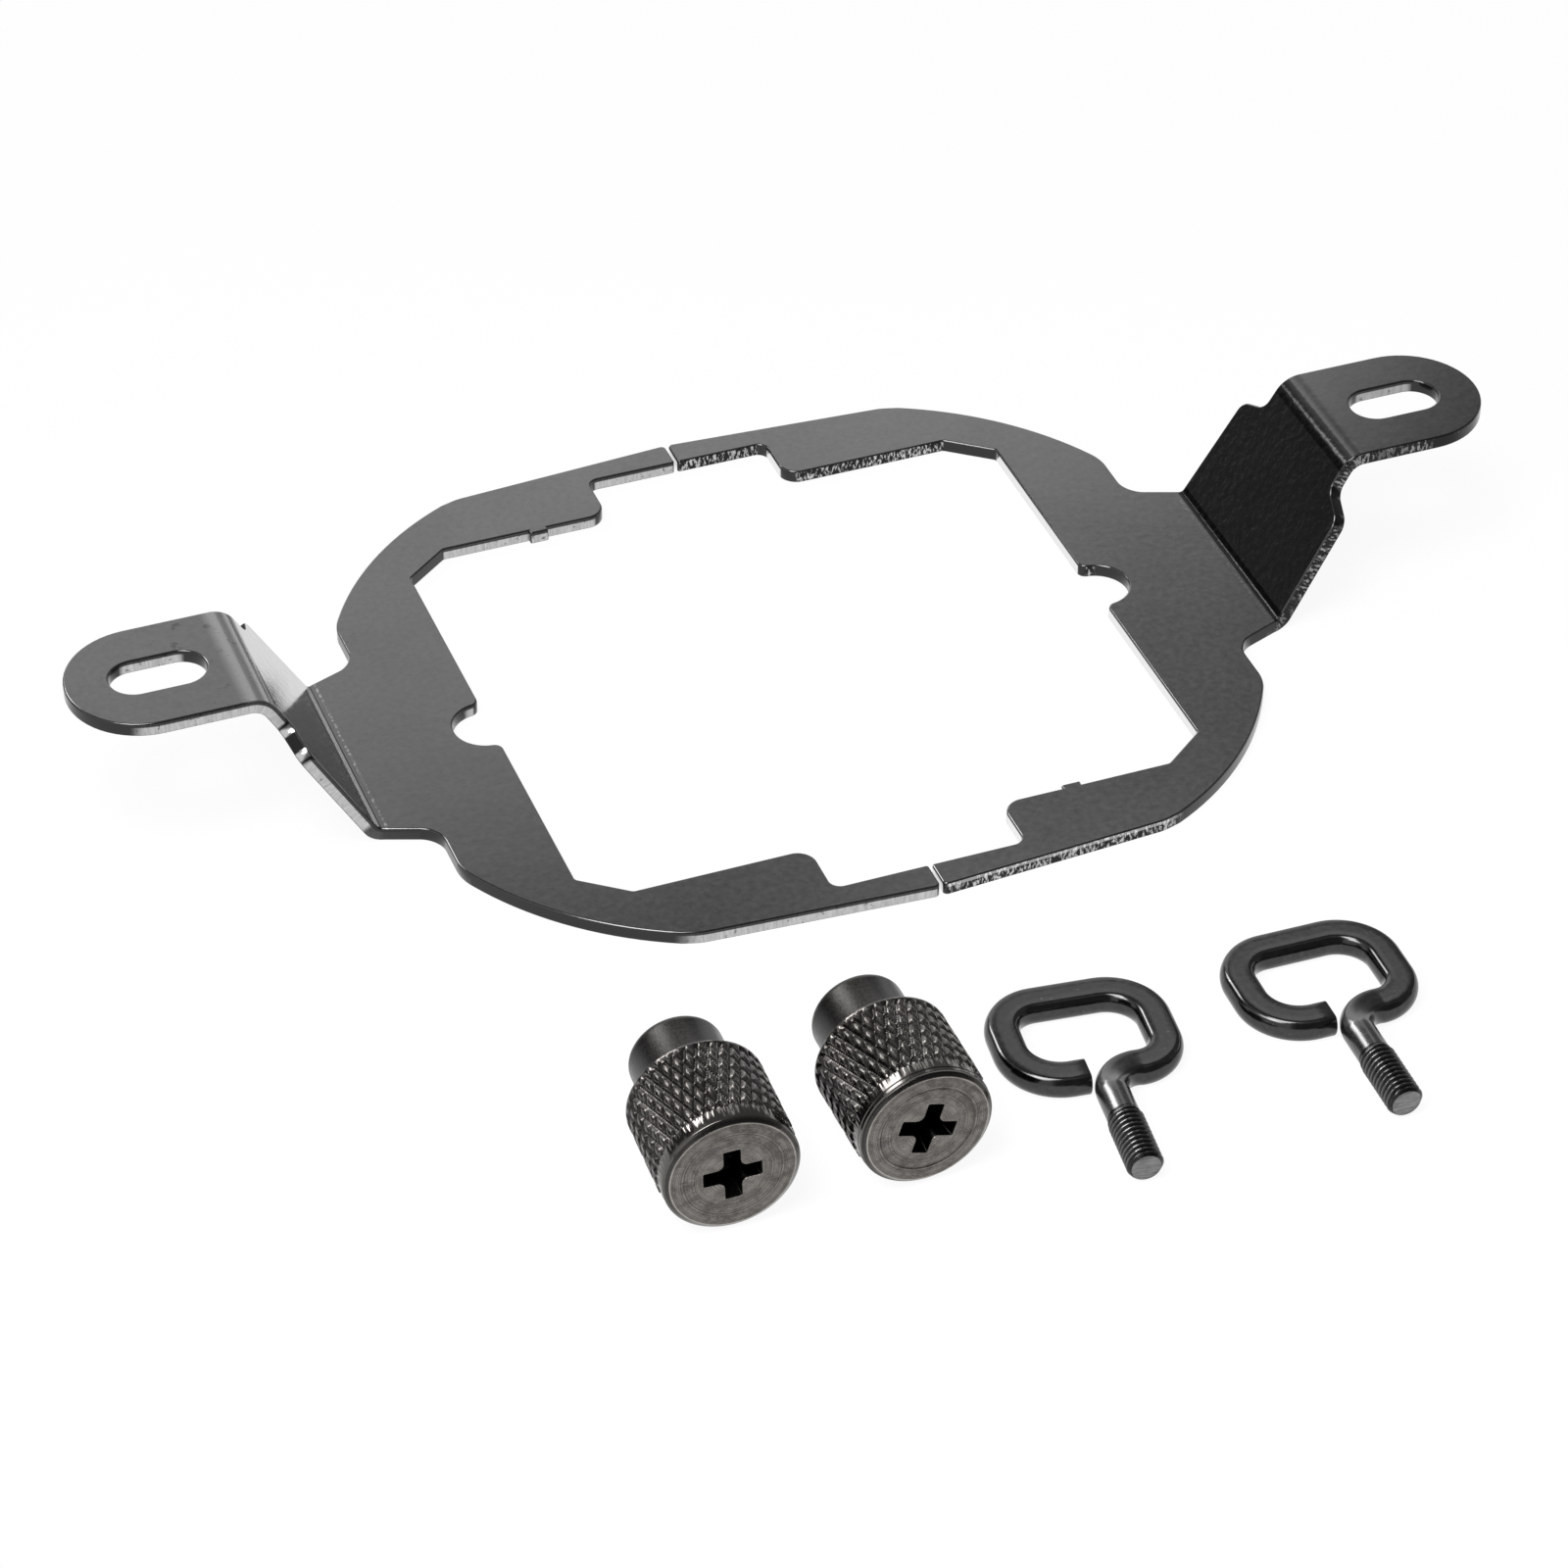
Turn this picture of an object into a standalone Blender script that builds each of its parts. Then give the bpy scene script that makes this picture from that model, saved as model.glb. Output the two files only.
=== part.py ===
import bpy
import bmesh
import math
from mathutils import Matrix, Vector

# Sizes, millimetres and degrees

# Sheet half: flat frame
sheetThick = 1.2
edgeRoll = 0.16
slitGap = 0.7
slitRound = 0.45
windowHalfX = 28.0
wideInnerY = 25.4
recessStep = 5.4
slitRail = 2.85
outerSlope = 0.064
chamferRunX = 4.0
chamferRunY = 3.1
chamferRound = 0.5
tabX = 8.55
tabRound = 1.7
tabFillet = 1.0
nubFromTab = 6.55
nubWidth = 1.7
nubHeight = 0.45
notchInset = 0.3
notchRadius = 2.9
notchLip = 0.8

# Sheet half: outer corner and neck
cornerInsetX = 18.9
cornerInsetY = 20.9
cornerRadius = 30.3
cornerBlend = 4.0
sideRail = 8.4
neckStartY = 12.15
neckRound = 2.4
neckEndY = 10.35

# Sheet half: folds, web and ear
neckLength = 4.7
foldAngle = 59.6
foldInside = 0.6
earRise = 13.04
earFoldInside = 1.4
foldSteps = 4
earFoldSteps = 6
humpHalf = 9.75
humpAlong = 10.0
humpRound = 1.4
waistHalf = 6.75
waistAlong = 11.3
waistRound = 1.3
earHalf = 6.6
earReach = 23.0
slotFromEnd = 7.82
slotHalfLength = 4.12
slotHalfWidth = 2.25

# Thumb nut
knurlRadius = 5.65
knurlDepth = 0.3
knurlColumns = 72
knurlRows = 5
nutBodyLength = 9.4
backRim = 0.5
backChamfer = 0.2
frontBand = 1.75
frontBandDrop = 0.14
frontChamfer = 0.48
collarRadius = 3.89
collarLength = 5.6
collarRound = 1.0
boreRadius = 1.3
boreDepth = 10.0
recessSpan = 4.65
recessWidth = 1.35
recessRound = 0.65
recessDepth = 2.4
recessTaper = 0.35

# Hook bolt
barWidth = 2.9
barThick = 2.07
barRound = 0.92
loopHalfX = 6.15
loopTopY = 4.54
loopBottomY = 4.64
shortBarY = 4.59
topLeftCorner = 3.25
topRightCorner = 3.82
lowerLeftCorner = 3.93
lowerRightCorner = 2.7
freeEndX = -1.05
shankX = 0.26
neckBend = 3.05
shankRadius = 1.34
threadRadius = 1.5
threadStartY = 10.6
boltEndY = 16.35
endChamfer = 0.45
cornerSteps = 6

# Where each loose piece lies, from the middle of the window
leftNutPlace = (-29.87, -64.81)
leftNutTurn = -2.17
leftCrossTurn = 0.0
rightNutPlace = (-14.15, -65.26)
rightNutTurn = 0.86
rightCrossTurn = -15.0
leftHookPlace = (3.35, -54.87)
leftHookTurn = -6.79
rightHookPlace = (23.76, -55.16)
rightHookTurn = -1.24

mm = 0.001


# Scene and collections
for old in list(bpy.data.objects):
    bpy.data.objects.remove(old, do_unlink=True)

partSet = bpy.data.collections.new("cpu_cooler_mounting_bracket")
cutterSet = bpy.data.collections.new("cutters")
bpy.context.scene.collection.children.link(partSet)
bpy.context.scene.collection.children.link(cutterSet)


def makeMaterial(name, colour, metallic, roughness):
    mat = bpy.data.materials.new(name)
    mat.use_nodes = True
    shader = mat.node_tree.nodes["Principled BSDF"]
    shader.inputs["Base Color"].default_value = (*colour, 1.0)
    shader.inputs["Metallic"].default_value = metallic
    shader.inputs["Roughness"].default_value = roughness
    mat.diffuse_color = (*colour, 1.0)
    return mat


def meshObject(name, bm, collection):
    bmesh.ops.recalc_face_normals(bm, faces=bm.faces)
    mesh = bpy.data.meshes.new(name)
    bm.to_mesh(mesh)
    bm.free()
    obj = bpy.data.objects.new(name, mesh)
    collection.objects.link(obj)
    return obj


def arcPoints(cx, cy, radius, start, end, stepAngle=15.0):
    count = max(1, math.ceil(abs(end - start) / stepAngle - 1e-6))
    points = []
    for i in range(count + 1):
        a = math.radians(start + (end - start) * i / count)
        points.append((cx + radius * math.cos(a), cy + radius * math.sin(a)))
    return points


# Each corner is (x, y, radius); a radius turns it into a tangent arc
def roundCorners(corners, stepAngle=15.0):
    points = []
    total = len(corners)
    for i, (x, y, radius) in enumerate(corners):
        here = Vector((x, y))
        if radius <= 0:
            points.append((x, y))
            continue
        before = (Vector(corners[i - 1][:2]) - here).normalized()
        after = (Vector(corners[(i + 1) % total][:2]) - here).normalized()
        half = before.angle(after) / 2
        reach = radius / math.tan(half)
        middle = here + (before + after).normalized() * (radius / math.sin(half))
        first = here + before * reach - middle
        last = here + after * reach - middle
        start = math.degrees(math.atan2(first.y, first.x))
        sweep = math.degrees(math.atan2(last.y, last.x)) - start
        sweep = (sweep + 180.0) % 360.0 - 180.0
        points.extend(arcPoints(middle.x, middle.y, radius, start, start + sweep, stepAngle))
    return points


# A closed flat outline, with any holes, extruded to a plate of the given thickness
def plateMesh(name, outlines, thick):
    curve = bpy.data.curves.new(name, "CURVE")
    curve.dimensions = "2D"
    curve.fill_mode = "BOTH"
    curve.extrude = thick / 2 * mm
    for outline in outlines:
        spline = curve.splines.new("POLY")
        spline.points.add(len(outline) - 1)
        for point, (x, y) in zip(spline.points, outline):
            point.co = (x * mm, y * mm, 0.0, 1.0)
        spline.use_cyclic_u = True
    temp = bpy.data.objects.new(name, curve)
    partSet.objects.link(temp)
    bpy.context.view_layer.update()
    graph = bpy.context.evaluated_depsgraph_get()
    mesh = bpy.data.meshes.new_from_object(temp.evaluated_get(graph))
    bm = bmesh.new()
    bm.from_mesh(mesh)
    bpy.data.objects.remove(temp, do_unlink=True)
    bpy.data.curves.remove(curve)
    bpy.data.meshes.remove(mesh)
    bmesh.ops.remove_doubles(bm, verts=bm.verts, dist=1e-7)
    bmesh.ops.dissolve_limit(bm, angle_limit=0.001, verts=bm.verts, edges=bm.edges)
    return bm


# Sheet half: places that follow from the window
thinInnerY = wideInnerY + recessStep
slitOuterY = thinInnerY + slitRail
chamferX = windowHalfX - chamferRunX
chamferY = wideInnerY - chamferRunY
nubX = tabX + nubFromTab
notchCentreX = windowHalfX + notchInset
cornerCentreX = windowHalfX - cornerInsetX
cornerCentreY = wideInnerY - cornerInsetY
shoulderX = windowHalfX + sideRail
foldX = shoulderX + neckLength
earEndX = foldX + earReach
slotCentreX = earEndX - slotFromEnd

# Sheet half: stations along the unfolded strip
angle = math.radians(foldAngle)
foldReach = foldInside * math.tan(angle / 2)
earFoldOutside = earFoldInside + sheetThick
earFoldReach = earFoldOutside * math.tan(angle / 2)
foldStart = foldX - foldReach
foldLength = (foldInside + sheetThick / 2) * angle
webStart = foldStart + foldLength
webLength = earRise / math.sin(angle) - foldReach - earFoldReach
earFoldStart = webStart + webLength
earFoldLength = (earFoldInside + sheetThick / 2) * angle
earStart = earFoldStart + earFoldLength
earStartX = foldX + earRise / math.tan(angle) + earFoldReach
earShift = earStart - earStartX


# Unfolded outline of one half, its middle on the x axis
def halfOutline():
    slitX = slitGap / 2
    angleOut = 66.6
    angleIn = 26.2
    outer = [(slitX, slitOuterY, slitRound)]
    big = arcPoints(cornerCentreX, cornerCentreY, cornerRadius, angleOut, angleIn, 6.5)
    reachX = cornerCentreX + cornerRadius * math.cos(math.radians(angleOut + 1.2))
    outer.append((reachX, slitOuterY - outerSlope * reachX, cornerBlend))
    outer.extend((x, y, 0.0) for x, y in big[1:-1])
    drop = shoulderX - cornerCentreX
    joinY = cornerCentreY + math.sqrt(cornerRadius ** 2 - drop ** 2)
    outer.append((shoulderX, joinY, cornerBlend))
    outer.append((shoulderX, neckStartY, neckRound))
    outer.append((foldX + 0.1, neckEndY, 2.5))
    outer.append((webStart + humpAlong, humpHalf, humpRound))
    outer.append((webStart + waistAlong, waistHalf, waistRound))
    outer.append((earStart, earHalf, 0.0))
    earEnd = earEndX + earShift
    outer.append((earEnd, earHalf, earHalf * 0.999))
    below = [(x, -y, r) for x, y, r in reversed(outer)]

    inner = [(slitX, -thinInnerY, slitRound * 0.6)]
    inner.append((tabX, -thinInnerY, tabFillet))
    inner.append((tabX, -wideInnerY, tabRound))
    inner.append((nubX - nubWidth / 2, -wideInnerY, 0.0))
    inner.append((nubX - nubWidth / 2, nubHeight - wideInnerY, 0.0))
    inner.append((nubX + nubWidth / 2, nubHeight - wideInnerY, 0.0))
    inner.append((nubX + nubWidth / 2, -wideInnerY, 0.0))
    inner.append((chamferX, -wideInnerY, chamferRound))
    inner.append((windowHalfX, -chamferY, chamferRound))
    lipX = windowHalfX + notchLip
    lipY = math.sqrt((notchRadius + notchLip) ** 2 - (lipX - notchCentreX) ** 2)
    lean = math.degrees(math.atan2(lipY, lipX - notchCentreX))
    lip = arcPoints(lipX, -lipY, notchLip, 180.0, 180.0 - lean, 22.5)
    bowl = arcPoints(notchCentreX, 0.0, notchRadius, -lean, lean, 20.0)
    upperLip = [(x, -y) for x, y in reversed(lip)]
    inner.extend((x, y, 0.0) for x, y in lip + bowl[1:-1] + upperLip)
    inner.append((windowHalfX, chamferY, chamferRound))
    inner.append((chamferX, wideInnerY, chamferRound))
    inner.append((tabX, wideInnerY, tabRound))
    inner.append((tabX, thinInnerY, tabFillet))
    inner.append((slitX, thinInnerY, slitRound * 0.6))
    return roundCorners(outer + below + inner)


def slotOutline():
    centre = slotCentreX + earShift
    corners = []
    for sx, sy in ((1, 1), (1, -1), (-1, -1), (-1, 1)):
        x = centre + sx * slotHalfLength
        corners.append((x, sy * slotHalfWidth, slotHalfWidth * 0.999))
    return roundCorners(corners, 18.0)


# Top-face position and slope at a distance along the unfolded strip
def foldedStation(u):
    if u <= foldStart:
        return u, 0.0, 0.0
    turn = min(1.0, (u - foldStart) / foldLength) * angle
    x = foldStart + foldInside * math.sin(turn)
    z = foldInside * (1 - math.cos(turn))
    if u <= webStart:
        return x, z, turn
    along = min(u, earFoldStart) - webStart
    x += along * math.cos(angle)
    z += along * math.sin(angle)
    if u <= earFoldStart:
        return x, z, angle
    turn = angle - min(1.0, (u - earFoldStart) / earFoldLength) * angle
    x += earFoldOutside * (math.sin(angle) - math.sin(turn))
    z += earFoldOutside * (math.cos(turn) - math.cos(angle))
    return x + max(0.0, u - earStart), z, turn


def bracketHalf(name, turned, material):
    bm = plateMesh(name, [halfOutline(), slotOutline()], sheetThick)
    stations = [foldStart + foldLength * i / foldSteps for i in range(foldSteps + 1)]
    stations += [earFoldStart + earFoldLength * i / earFoldSteps for i in range(earFoldSteps + 1)]
    for u in stations:
        everything = bm.verts[:] + bm.edges[:] + bm.faces[:]
        bmesh.ops.bisect_plane(bm, geom=everything, dist=1e-8, plane_co=(u * mm, 0, 0), plane_no=(1, 0, 0))
    for vert in bm.verts:
        below = sheetThick / 2 - vert.co.z / mm
        x, z, slope = foldedStation(vert.co.x / mm)
        vert.co.x = (x + below * math.sin(slope)) * mm
        vert.co.z = (z + sheetThick - below * math.cos(slope)) * mm
    if turned:
        bmesh.ops.rotate(bm, verts=bm.verts, cent=(0, 0, 0), matrix=Matrix.Rotation(math.pi, 3, "Z"))
    obj = meshObject(name, bm, partSet)
    obj.data.materials.append(material)
    roll = obj.modifiers.new("rolled edge", "BEVEL")
    roll.width = edgeRoll * mm
    roll.segments = 1
    roll.limit_method = "ANGLE"
    roll.angle_limit = math.radians(50)
    roll.use_clamp_overlap = True
    return obj


# Thumb nut: a spun profile whose knurled rings rise and fall in turn
def crossOutline():
    tip = recessSpan / 2
    half = recessWidth / 2
    corners = []
    for index in range(4):
        c = round(math.cos(math.radians(90 * index)))
        s = round(math.sin(math.radians(90 * index)))
        for x, y, radius in ((tip, -half, 0.2), (tip, half, 0.2), (half, half, recessRound)):
            corners.append((x * c - y * s, x * s + y * c, radius))
    return roundCorners(corners, 30.0)


def thumbNut(name, place, turn, crossTurn, material):
    total = nutBodyLength + collarLength
    bandRadius = knurlRadius - frontBandDrop
    knurlStart = collarLength + backRim
    knurlEnd = total - frontBand
    profile = [(0.0, boreDepth), (boreRadius, boreDepth - boreRadius * 0.6), (boreRadius, 0.0)]
    profile.append((collarRadius - collarRound, 0.0))
    for a in (30.0, 60.0, 90.0):
        s = math.sin(math.radians(a))
        c = math.cos(math.radians(a))
        profile.append((collarRadius - collarRound + collarRound * s, collarRound * (1 - c)))
    profile.append((collarRadius, collarLength))
    profile.append((knurlRadius - backChamfer, collarLength))
    profile.append((knurlRadius, collarLength + backChamfer))
    firstRing = len(profile)
    for row in range(knurlRows + 1):
        z = knurlStart + (knurlEnd - knurlStart) * row / knurlRows
        profile.append((knurlRadius - knurlDepth, z))
    profile.append((bandRadius, knurlEnd + 0.15))
    profile.append((bandRadius, total - frontChamfer))
    profile.append((bandRadius - frontChamfer, total))
    profile.append((0.0, total))

    bm = bmesh.new()
    line = [bm.verts.new((r * mm, 0, z * mm)) for r, z in profile]
    edges = [bm.edges.new(pair) for pair in zip(line, line[1:])]
    bmesh.ops.spin(bm, geom=line + edges, cent=(0, 0, 0), axis=(0, 0, 1), dvec=(0, 0, 0),
                   angle=math.tau, steps=knurlColumns, use_merge=True)
    bmesh.ops.remove_doubles(bm, verts=bm.verts, dist=1e-6)

    rings = {}
    for row in range(knurlRows + 1):
        rings[round(profile[firstRing + row][1], 4)] = row
    low = set()
    grid = set()
    for vert in bm.verts:
        row = rings.get(round(vert.co.z / mm, 4))
        radius = math.hypot(vert.co.x, vert.co.y)
        if row is None or abs(radius / mm - (knurlRadius - knurlDepth)) > 0.01:
            continue
        column = round(math.atan2(vert.co.y, vert.co.x) / math.tau * knurlColumns)
        grid.add(vert)
        if (column + row) % 2 == 0 and 0 < row < knurlRows:
            vert.co.x *= knurlRadius * mm / radius
            vert.co.y *= knurlRadius * mm / radius
        else:
            low.add(vert)
    for face in bm.faces[:]:
        if len(face.verts) != 4 or any(v not in grid for v in face.verts):
            continue
        a, b, c, d = face.verts
        if a in low and c in low:
            bmesh.utils.face_split(face, a, c)
        else:
            bmesh.utils.face_split(face, b, d)

    layFlat = Matrix.Rotation(math.radians(turn), 4, "Z") @ Matrix.Rotation(math.radians(90), 4, "X")
    put = Matrix.Translation((place[0] * mm, place[1] * mm, knurlRadius * mm)) @ layFlat
    atFace = put @ Matrix.Translation((0, 0, -total * mm))
    bmesh.ops.transform(bm, matrix=atFace, verts=bm.verts)
    obj = meshObject(name, bm, partSet)
    obj.data.materials.append(material)

    # Cross recess: one cutter, its arms narrowing inward
    lift = 0.4
    cut = plateMesh(name + "_recess", [crossOutline()], recessDepth + lift)
    floor = min(v.co.z for v in cut.verts)
    for vert in cut.verts:
        deep = recessDepth if vert.co.z < floor + 0.1 * mm else -lift
        shrink = 1 - recessTaper * deep / recessDepth
        vert.co = Vector((vert.co.x * shrink, vert.co.y * shrink, -deep * mm))
    spin = Matrix.Rotation(math.radians(crossTurn), 4, "Z")
    bmesh.ops.transform(cut, matrix=put @ spin, verts=cut.verts)
    cutter = meshObject(name + "_recess", cut, cutterSet)
    cutter.hide_render = True
    cutter.display_type = "WIRE"
    boolean = obj.modifiers.new("recess", "BOOLEAN")
    boolean.operation = "DIFFERENCE"
    boolean.solver = "EXACT"
    boolean.object = cutter
    return obj


# Hook bolt: centre line, one rounded section bridged to the next; the neck's bend starts where the corner ends
neckRadius = min(neckBend, loopHalfX - lowerRightCorner - shankX - 0.05)


def hookPath():
    flat = (barWidth / 2, barThick / 2, barRound)
    centre = [((freeEndX, -loopBottomY), flat)]

    def corner(cx, cy, radius, start, end, section):
        for point in arcPoints(cx, cy, radius, start, end, 90.0 / cornerSteps):
            centre.append((point, section))

    corner(lowerLeftCorner - loopHalfX, lowerLeftCorner - loopBottomY, lowerLeftCorner, 270.0, 180.0, flat)
    corner(topLeftCorner - loopHalfX, loopTopY - topLeftCorner, topLeftCorner, 180.0, 90.0, flat)
    corner(loopHalfX - topRightCorner, loopTopY - topRightCorner, topRightCorner, 90.0, 0.0, flat)
    corner(loopHalfX - lowerRightCorner, lowerRightCorner - shortBarY, lowerRightCorner, 0.0, -90.0, flat)
    bend = arcPoints(shankX + neckRadius, -shortBarY - neckRadius, neckRadius, 90.0, 180.0, 90.0 / cornerSteps)
    for i, point in enumerate(bend):
        k = i / (len(bend) - 1)
        section = [f + (shankRadius - f) * k ** 1.5 for f in flat]
        centre.append((point, tuple(section)))
    roundBar = (shankRadius, shankRadius, shankRadius)
    thread = (threadRadius, threadRadius, threadRadius)
    tip = tuple(r - endChamfer for r in thread)
    centre.append(((shankX, -threadStartY), roundBar))
    centre.append(((shankX, -threadStartY - 0.25), thread))
    centre.append(((shankX, endChamfer - boltEndY), thread))
    centre.append(((shankX, -boltEndY), tip))
    return centre


def sectionRing(half, thick, radius):
    ring = []
    for quadrant in range(4):
        sx = 1 if quadrant in (0, 3) else -1
        sy = 1 if quadrant in (0, 1) else -1
        for step in range(4):
            a = math.radians(quadrant * 90 + 11.25 + step * 22.5)
            ring.append((sx * (half - radius) + radius * math.cos(a), sy * (thick - radius) + radius * math.sin(a)))
    return ring


def hookBolt(name, place, turn, material):
    path = hookPath()
    bm = bmesh.new()
    loops = []
    for i, ((x, y), (half, thick, radius)) in enumerate(path):
        before = Vector(path[max(i - 1, 0)][0])
        after = Vector(path[min(i + 1, len(path) - 1)][0])
        ahead = (after - before).normalized()
        side = Vector((ahead.y, -ahead.x))
        rise = barThick / 2 + (threadRadius - barThick / 2) * min(1.0, max(0.0, (-y - shortBarY) / neckRadius))
        if x < freeEndX + 0.01 or y > -shortBarY:
            rise = barThick / 2
        made = bmesh.ops.create_circle(bm, cap_ends=False, radius=mm, segments=16)["verts"]
        for vert, (across, up) in zip(made, sectionRing(half, thick, radius)):
            vert.co = Vector(((x + side.x * across) * mm, (y + side.y * across) * mm, (rise + up) * mm))
        loops.append(made)
    for first, second in zip(loops, loops[1:]):
        for k in range(16):
            bm.faces.new((first[k], first[(k + 1) % 16], second[(k + 1) % 16], second[k]))
    bm.faces.new(loops[0])
    bm.faces.new(reversed(loops[-1]))
    put = Matrix.Translation((place[0] * mm, place[1] * mm, 0)) @ Matrix.Rotation(math.radians(turn), 4, "Z")
    bmesh.ops.transform(bm, matrix=put, verts=bm.verts)
    obj = meshObject(name, bm, partSet)
    obj.data.materials.append(material)
    return obj


# Build the six pieces
bracketLeftMat = makeMaterial("bracket_left", (0.115, 0.115, 0.12), 0.85, 0.34)
bracketRightMat = makeMaterial("bracket_right", (0.115, 0.115, 0.12), 0.85, 0.34)
nutLeftMat = makeMaterial("thumb_nut_left", (0.09, 0.09, 0.095), 0.9, 0.28)
nutRightMat = makeMaterial("thumb_nut_right", (0.09, 0.09, 0.095), 0.9, 0.28)
hookLeftMat = makeMaterial("hook_bolt_left", (0.07, 0.07, 0.075), 0.9, 0.22)
hookRightMat = makeMaterial("hook_bolt_right", (0.07, 0.07, 0.075), 0.9, 0.22)

pieces = [
    bracketHalf("bracket_left", True, bracketLeftMat),
    bracketHalf("bracket_right", False, bracketRightMat),
    thumbNut("thumb_nut_left", leftNutPlace, leftNutTurn, leftCrossTurn, nutLeftMat),
    thumbNut("thumb_nut_right", rightNutPlace, rightNutTurn, rightCrossTurn, nutRightMat),
    hookBolt("hook_bolt_left", leftHookPlace, leftHookTurn, hookLeftMat),
    hookBolt("hook_bolt_right", rightHookPlace, rightHookTurn, hookRightMat),
]

# Put the middle of the whole layout's box on the origin, resting on z = 0
corners = [v.co for obj in pieces for v in obj.data.vertices]
shift = Vector((
    -(min(c.x for c in corners) + max(c.x for c in corners)) / 2,
    -(min(c.y for c in corners) + max(c.y for c in corners)) / 2,
    -min(c.z for c in corners),
))
for obj in pieces + list(cutterSet.objects):
    obj.data.transform(Matrix.Translation(shift))
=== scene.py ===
import bpy
import bmesh
import math
from mathutils import Matrix, Vector


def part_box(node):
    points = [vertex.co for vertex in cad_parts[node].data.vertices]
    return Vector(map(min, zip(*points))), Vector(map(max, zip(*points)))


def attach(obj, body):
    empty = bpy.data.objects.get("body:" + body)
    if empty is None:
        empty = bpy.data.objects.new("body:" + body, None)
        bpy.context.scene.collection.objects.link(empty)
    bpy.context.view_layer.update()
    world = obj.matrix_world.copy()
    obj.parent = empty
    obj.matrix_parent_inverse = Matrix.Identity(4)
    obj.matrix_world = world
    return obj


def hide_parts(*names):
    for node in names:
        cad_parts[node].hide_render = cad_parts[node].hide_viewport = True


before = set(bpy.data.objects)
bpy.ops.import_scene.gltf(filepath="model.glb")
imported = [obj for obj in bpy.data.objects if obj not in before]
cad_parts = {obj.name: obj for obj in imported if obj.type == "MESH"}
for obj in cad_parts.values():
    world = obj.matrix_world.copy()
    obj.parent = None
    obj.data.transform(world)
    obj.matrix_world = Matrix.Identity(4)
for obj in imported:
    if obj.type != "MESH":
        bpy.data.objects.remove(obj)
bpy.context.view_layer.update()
mm = 0.001
print("frame loaded")

# the middle of the bracket's window, on the table
lowCorner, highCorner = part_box("bracket_right")
windowMiddle = Vector((0.0, (lowCorner[1] + highCorner[1]) / 2, 0.0))


# clockwise from +Y and up from the table, in degrees
def direction(azimuth, height):
    azimuth, height = math.radians(azimuth), math.radians(height)
    level = math.cos(height)
    return Vector((math.sin(azimuth) * level, math.cos(azimuth) * level, math.sin(height)))


# camera, from the straight edges and arcs of the sheet in the photograph
cameraView = {
    "place": (-130.33, -339.67, 276.61),   # mm from the window's middle
    "yaw": 20.8206, "pitch": 38.5535, "roll": -0.1135,
    "focal": 5366.99, "picture": 1600,     # pixels
    "sensor": 36.0, "clip": (0.01, 20.0),
}


def addCamera(view):
    data = bpy.data.cameras.new("photo camera")
    data.sensor_width = view["sensor"]
    data.lens = view["focal"] / view["picture"] * view["sensor"]
    data.clip_start, data.clip_end = view["clip"]
    yaw, roll = math.radians(view["yaw"]), math.radians(view["roll"])
    ahead = direction(view["yaw"], -view["pitch"])
    right = Vector((math.cos(yaw), -math.sin(yaw), 0.0))
    down = ahead.cross(right)
    turnedRight = right * math.cos(roll) + down * math.sin(roll)
    turnedDown = down * math.cos(roll) - right * math.sin(roll)
    axes = Matrix((turnedRight, -turnedDown, -ahead)).transposed()
    camera = bpy.data.objects.new("photo camera", data)
    place = windowMiddle + Vector(view["place"]) * mm
    camera.matrix_world = Matrix.Translation(place) @ axes.to_4x4()
    bpy.context.scene.collection.objects.link(camera)
    bpy.context.scene.camera = camera


addCamera(cameraView)
print("camera placed")


# shared modelling steps
def finishMesh(name, bm, materials, sharpAngle=32.0):
    mesh = bpy.data.meshes.new(name)
    bm.to_mesh(mesh)
    bm.free()
    mesh.shade_smooth()
    mesh.set_sharp_from_angle(angle=math.radians(sharpAngle))
    for material in materials:
        mesh.materials.append(material)
    piece = bpy.data.objects.new(name, mesh)
    bpy.context.scene.collection.objects.link(piece)
    return piece


def weighNormals(piece):
    weigh = piece.modifiers.new("weighted normals", "WEIGHTED_NORMAL")
    weigh.mode = "FACE_AREA"
    weigh.weight = 50
    weigh.keep_sharp = True


def standIn(piece, node):
    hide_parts(node)
    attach(piece, "root")


def arcPoints(cx, cy, radius, start, end, stepAngle=6.0):
    count = max(1, math.ceil(abs(end - start) / stepAngle - 1e-6))
    angles = [math.radians(start + (end - start) * i / count) for i in range(count + 1)]
    return [(cx + radius * math.cos(a), cy + radius * math.sin(a)) for a in angles]


def clamped(value):
    return min(1.0, max(0.0, value))


# shader steps: a socket is linked, anything else is set
def step(tree, kind, inputs=(), **settings):
    node = tree.nodes.new("ShaderNode" + kind)
    for key, value in settings.items():
        setattr(node, key, value)
    for slot, value in inputs:
        if isinstance(value, bpy.types.NodeSocket):
            tree.links.new(value, node.inputs[slot])
        else:
            node.inputs[slot].default_value = value
    return node


def maths(tree, operation, first, second=0.0, third=0.0):
    return step(tree, "Math", ((0, first), (1, second), (2, third)), operation=operation).outputs[0]


def product(tree, result, *factors):
    for factor in factors:
        result = maths(tree, "MULTIPLY", result, factor)
    return result


def added(tree, base, mask, amount):
    return maths(tree, "MULTIPLY_ADD", mask, amount, base)


# each mask adds its share, by the same name in the finish
def layered(tree, base, finish, **masks):
    for name, mask in masks.items():
        base = added(tree, base, mask, finish[name])
    return base


def scaled(tree, value, low, high, toLow=0.0, toHigh=1.0, smooth=True):
    kind = "SMOOTHSTEP" if smooth else "LINEAR"
    inputs = ((0, value), (1, low), (2, high), (3, toLow), (4, toHigh))
    return step(tree, "MapRange", inputs, interpolation_type=kind).outputs[0]


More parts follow.
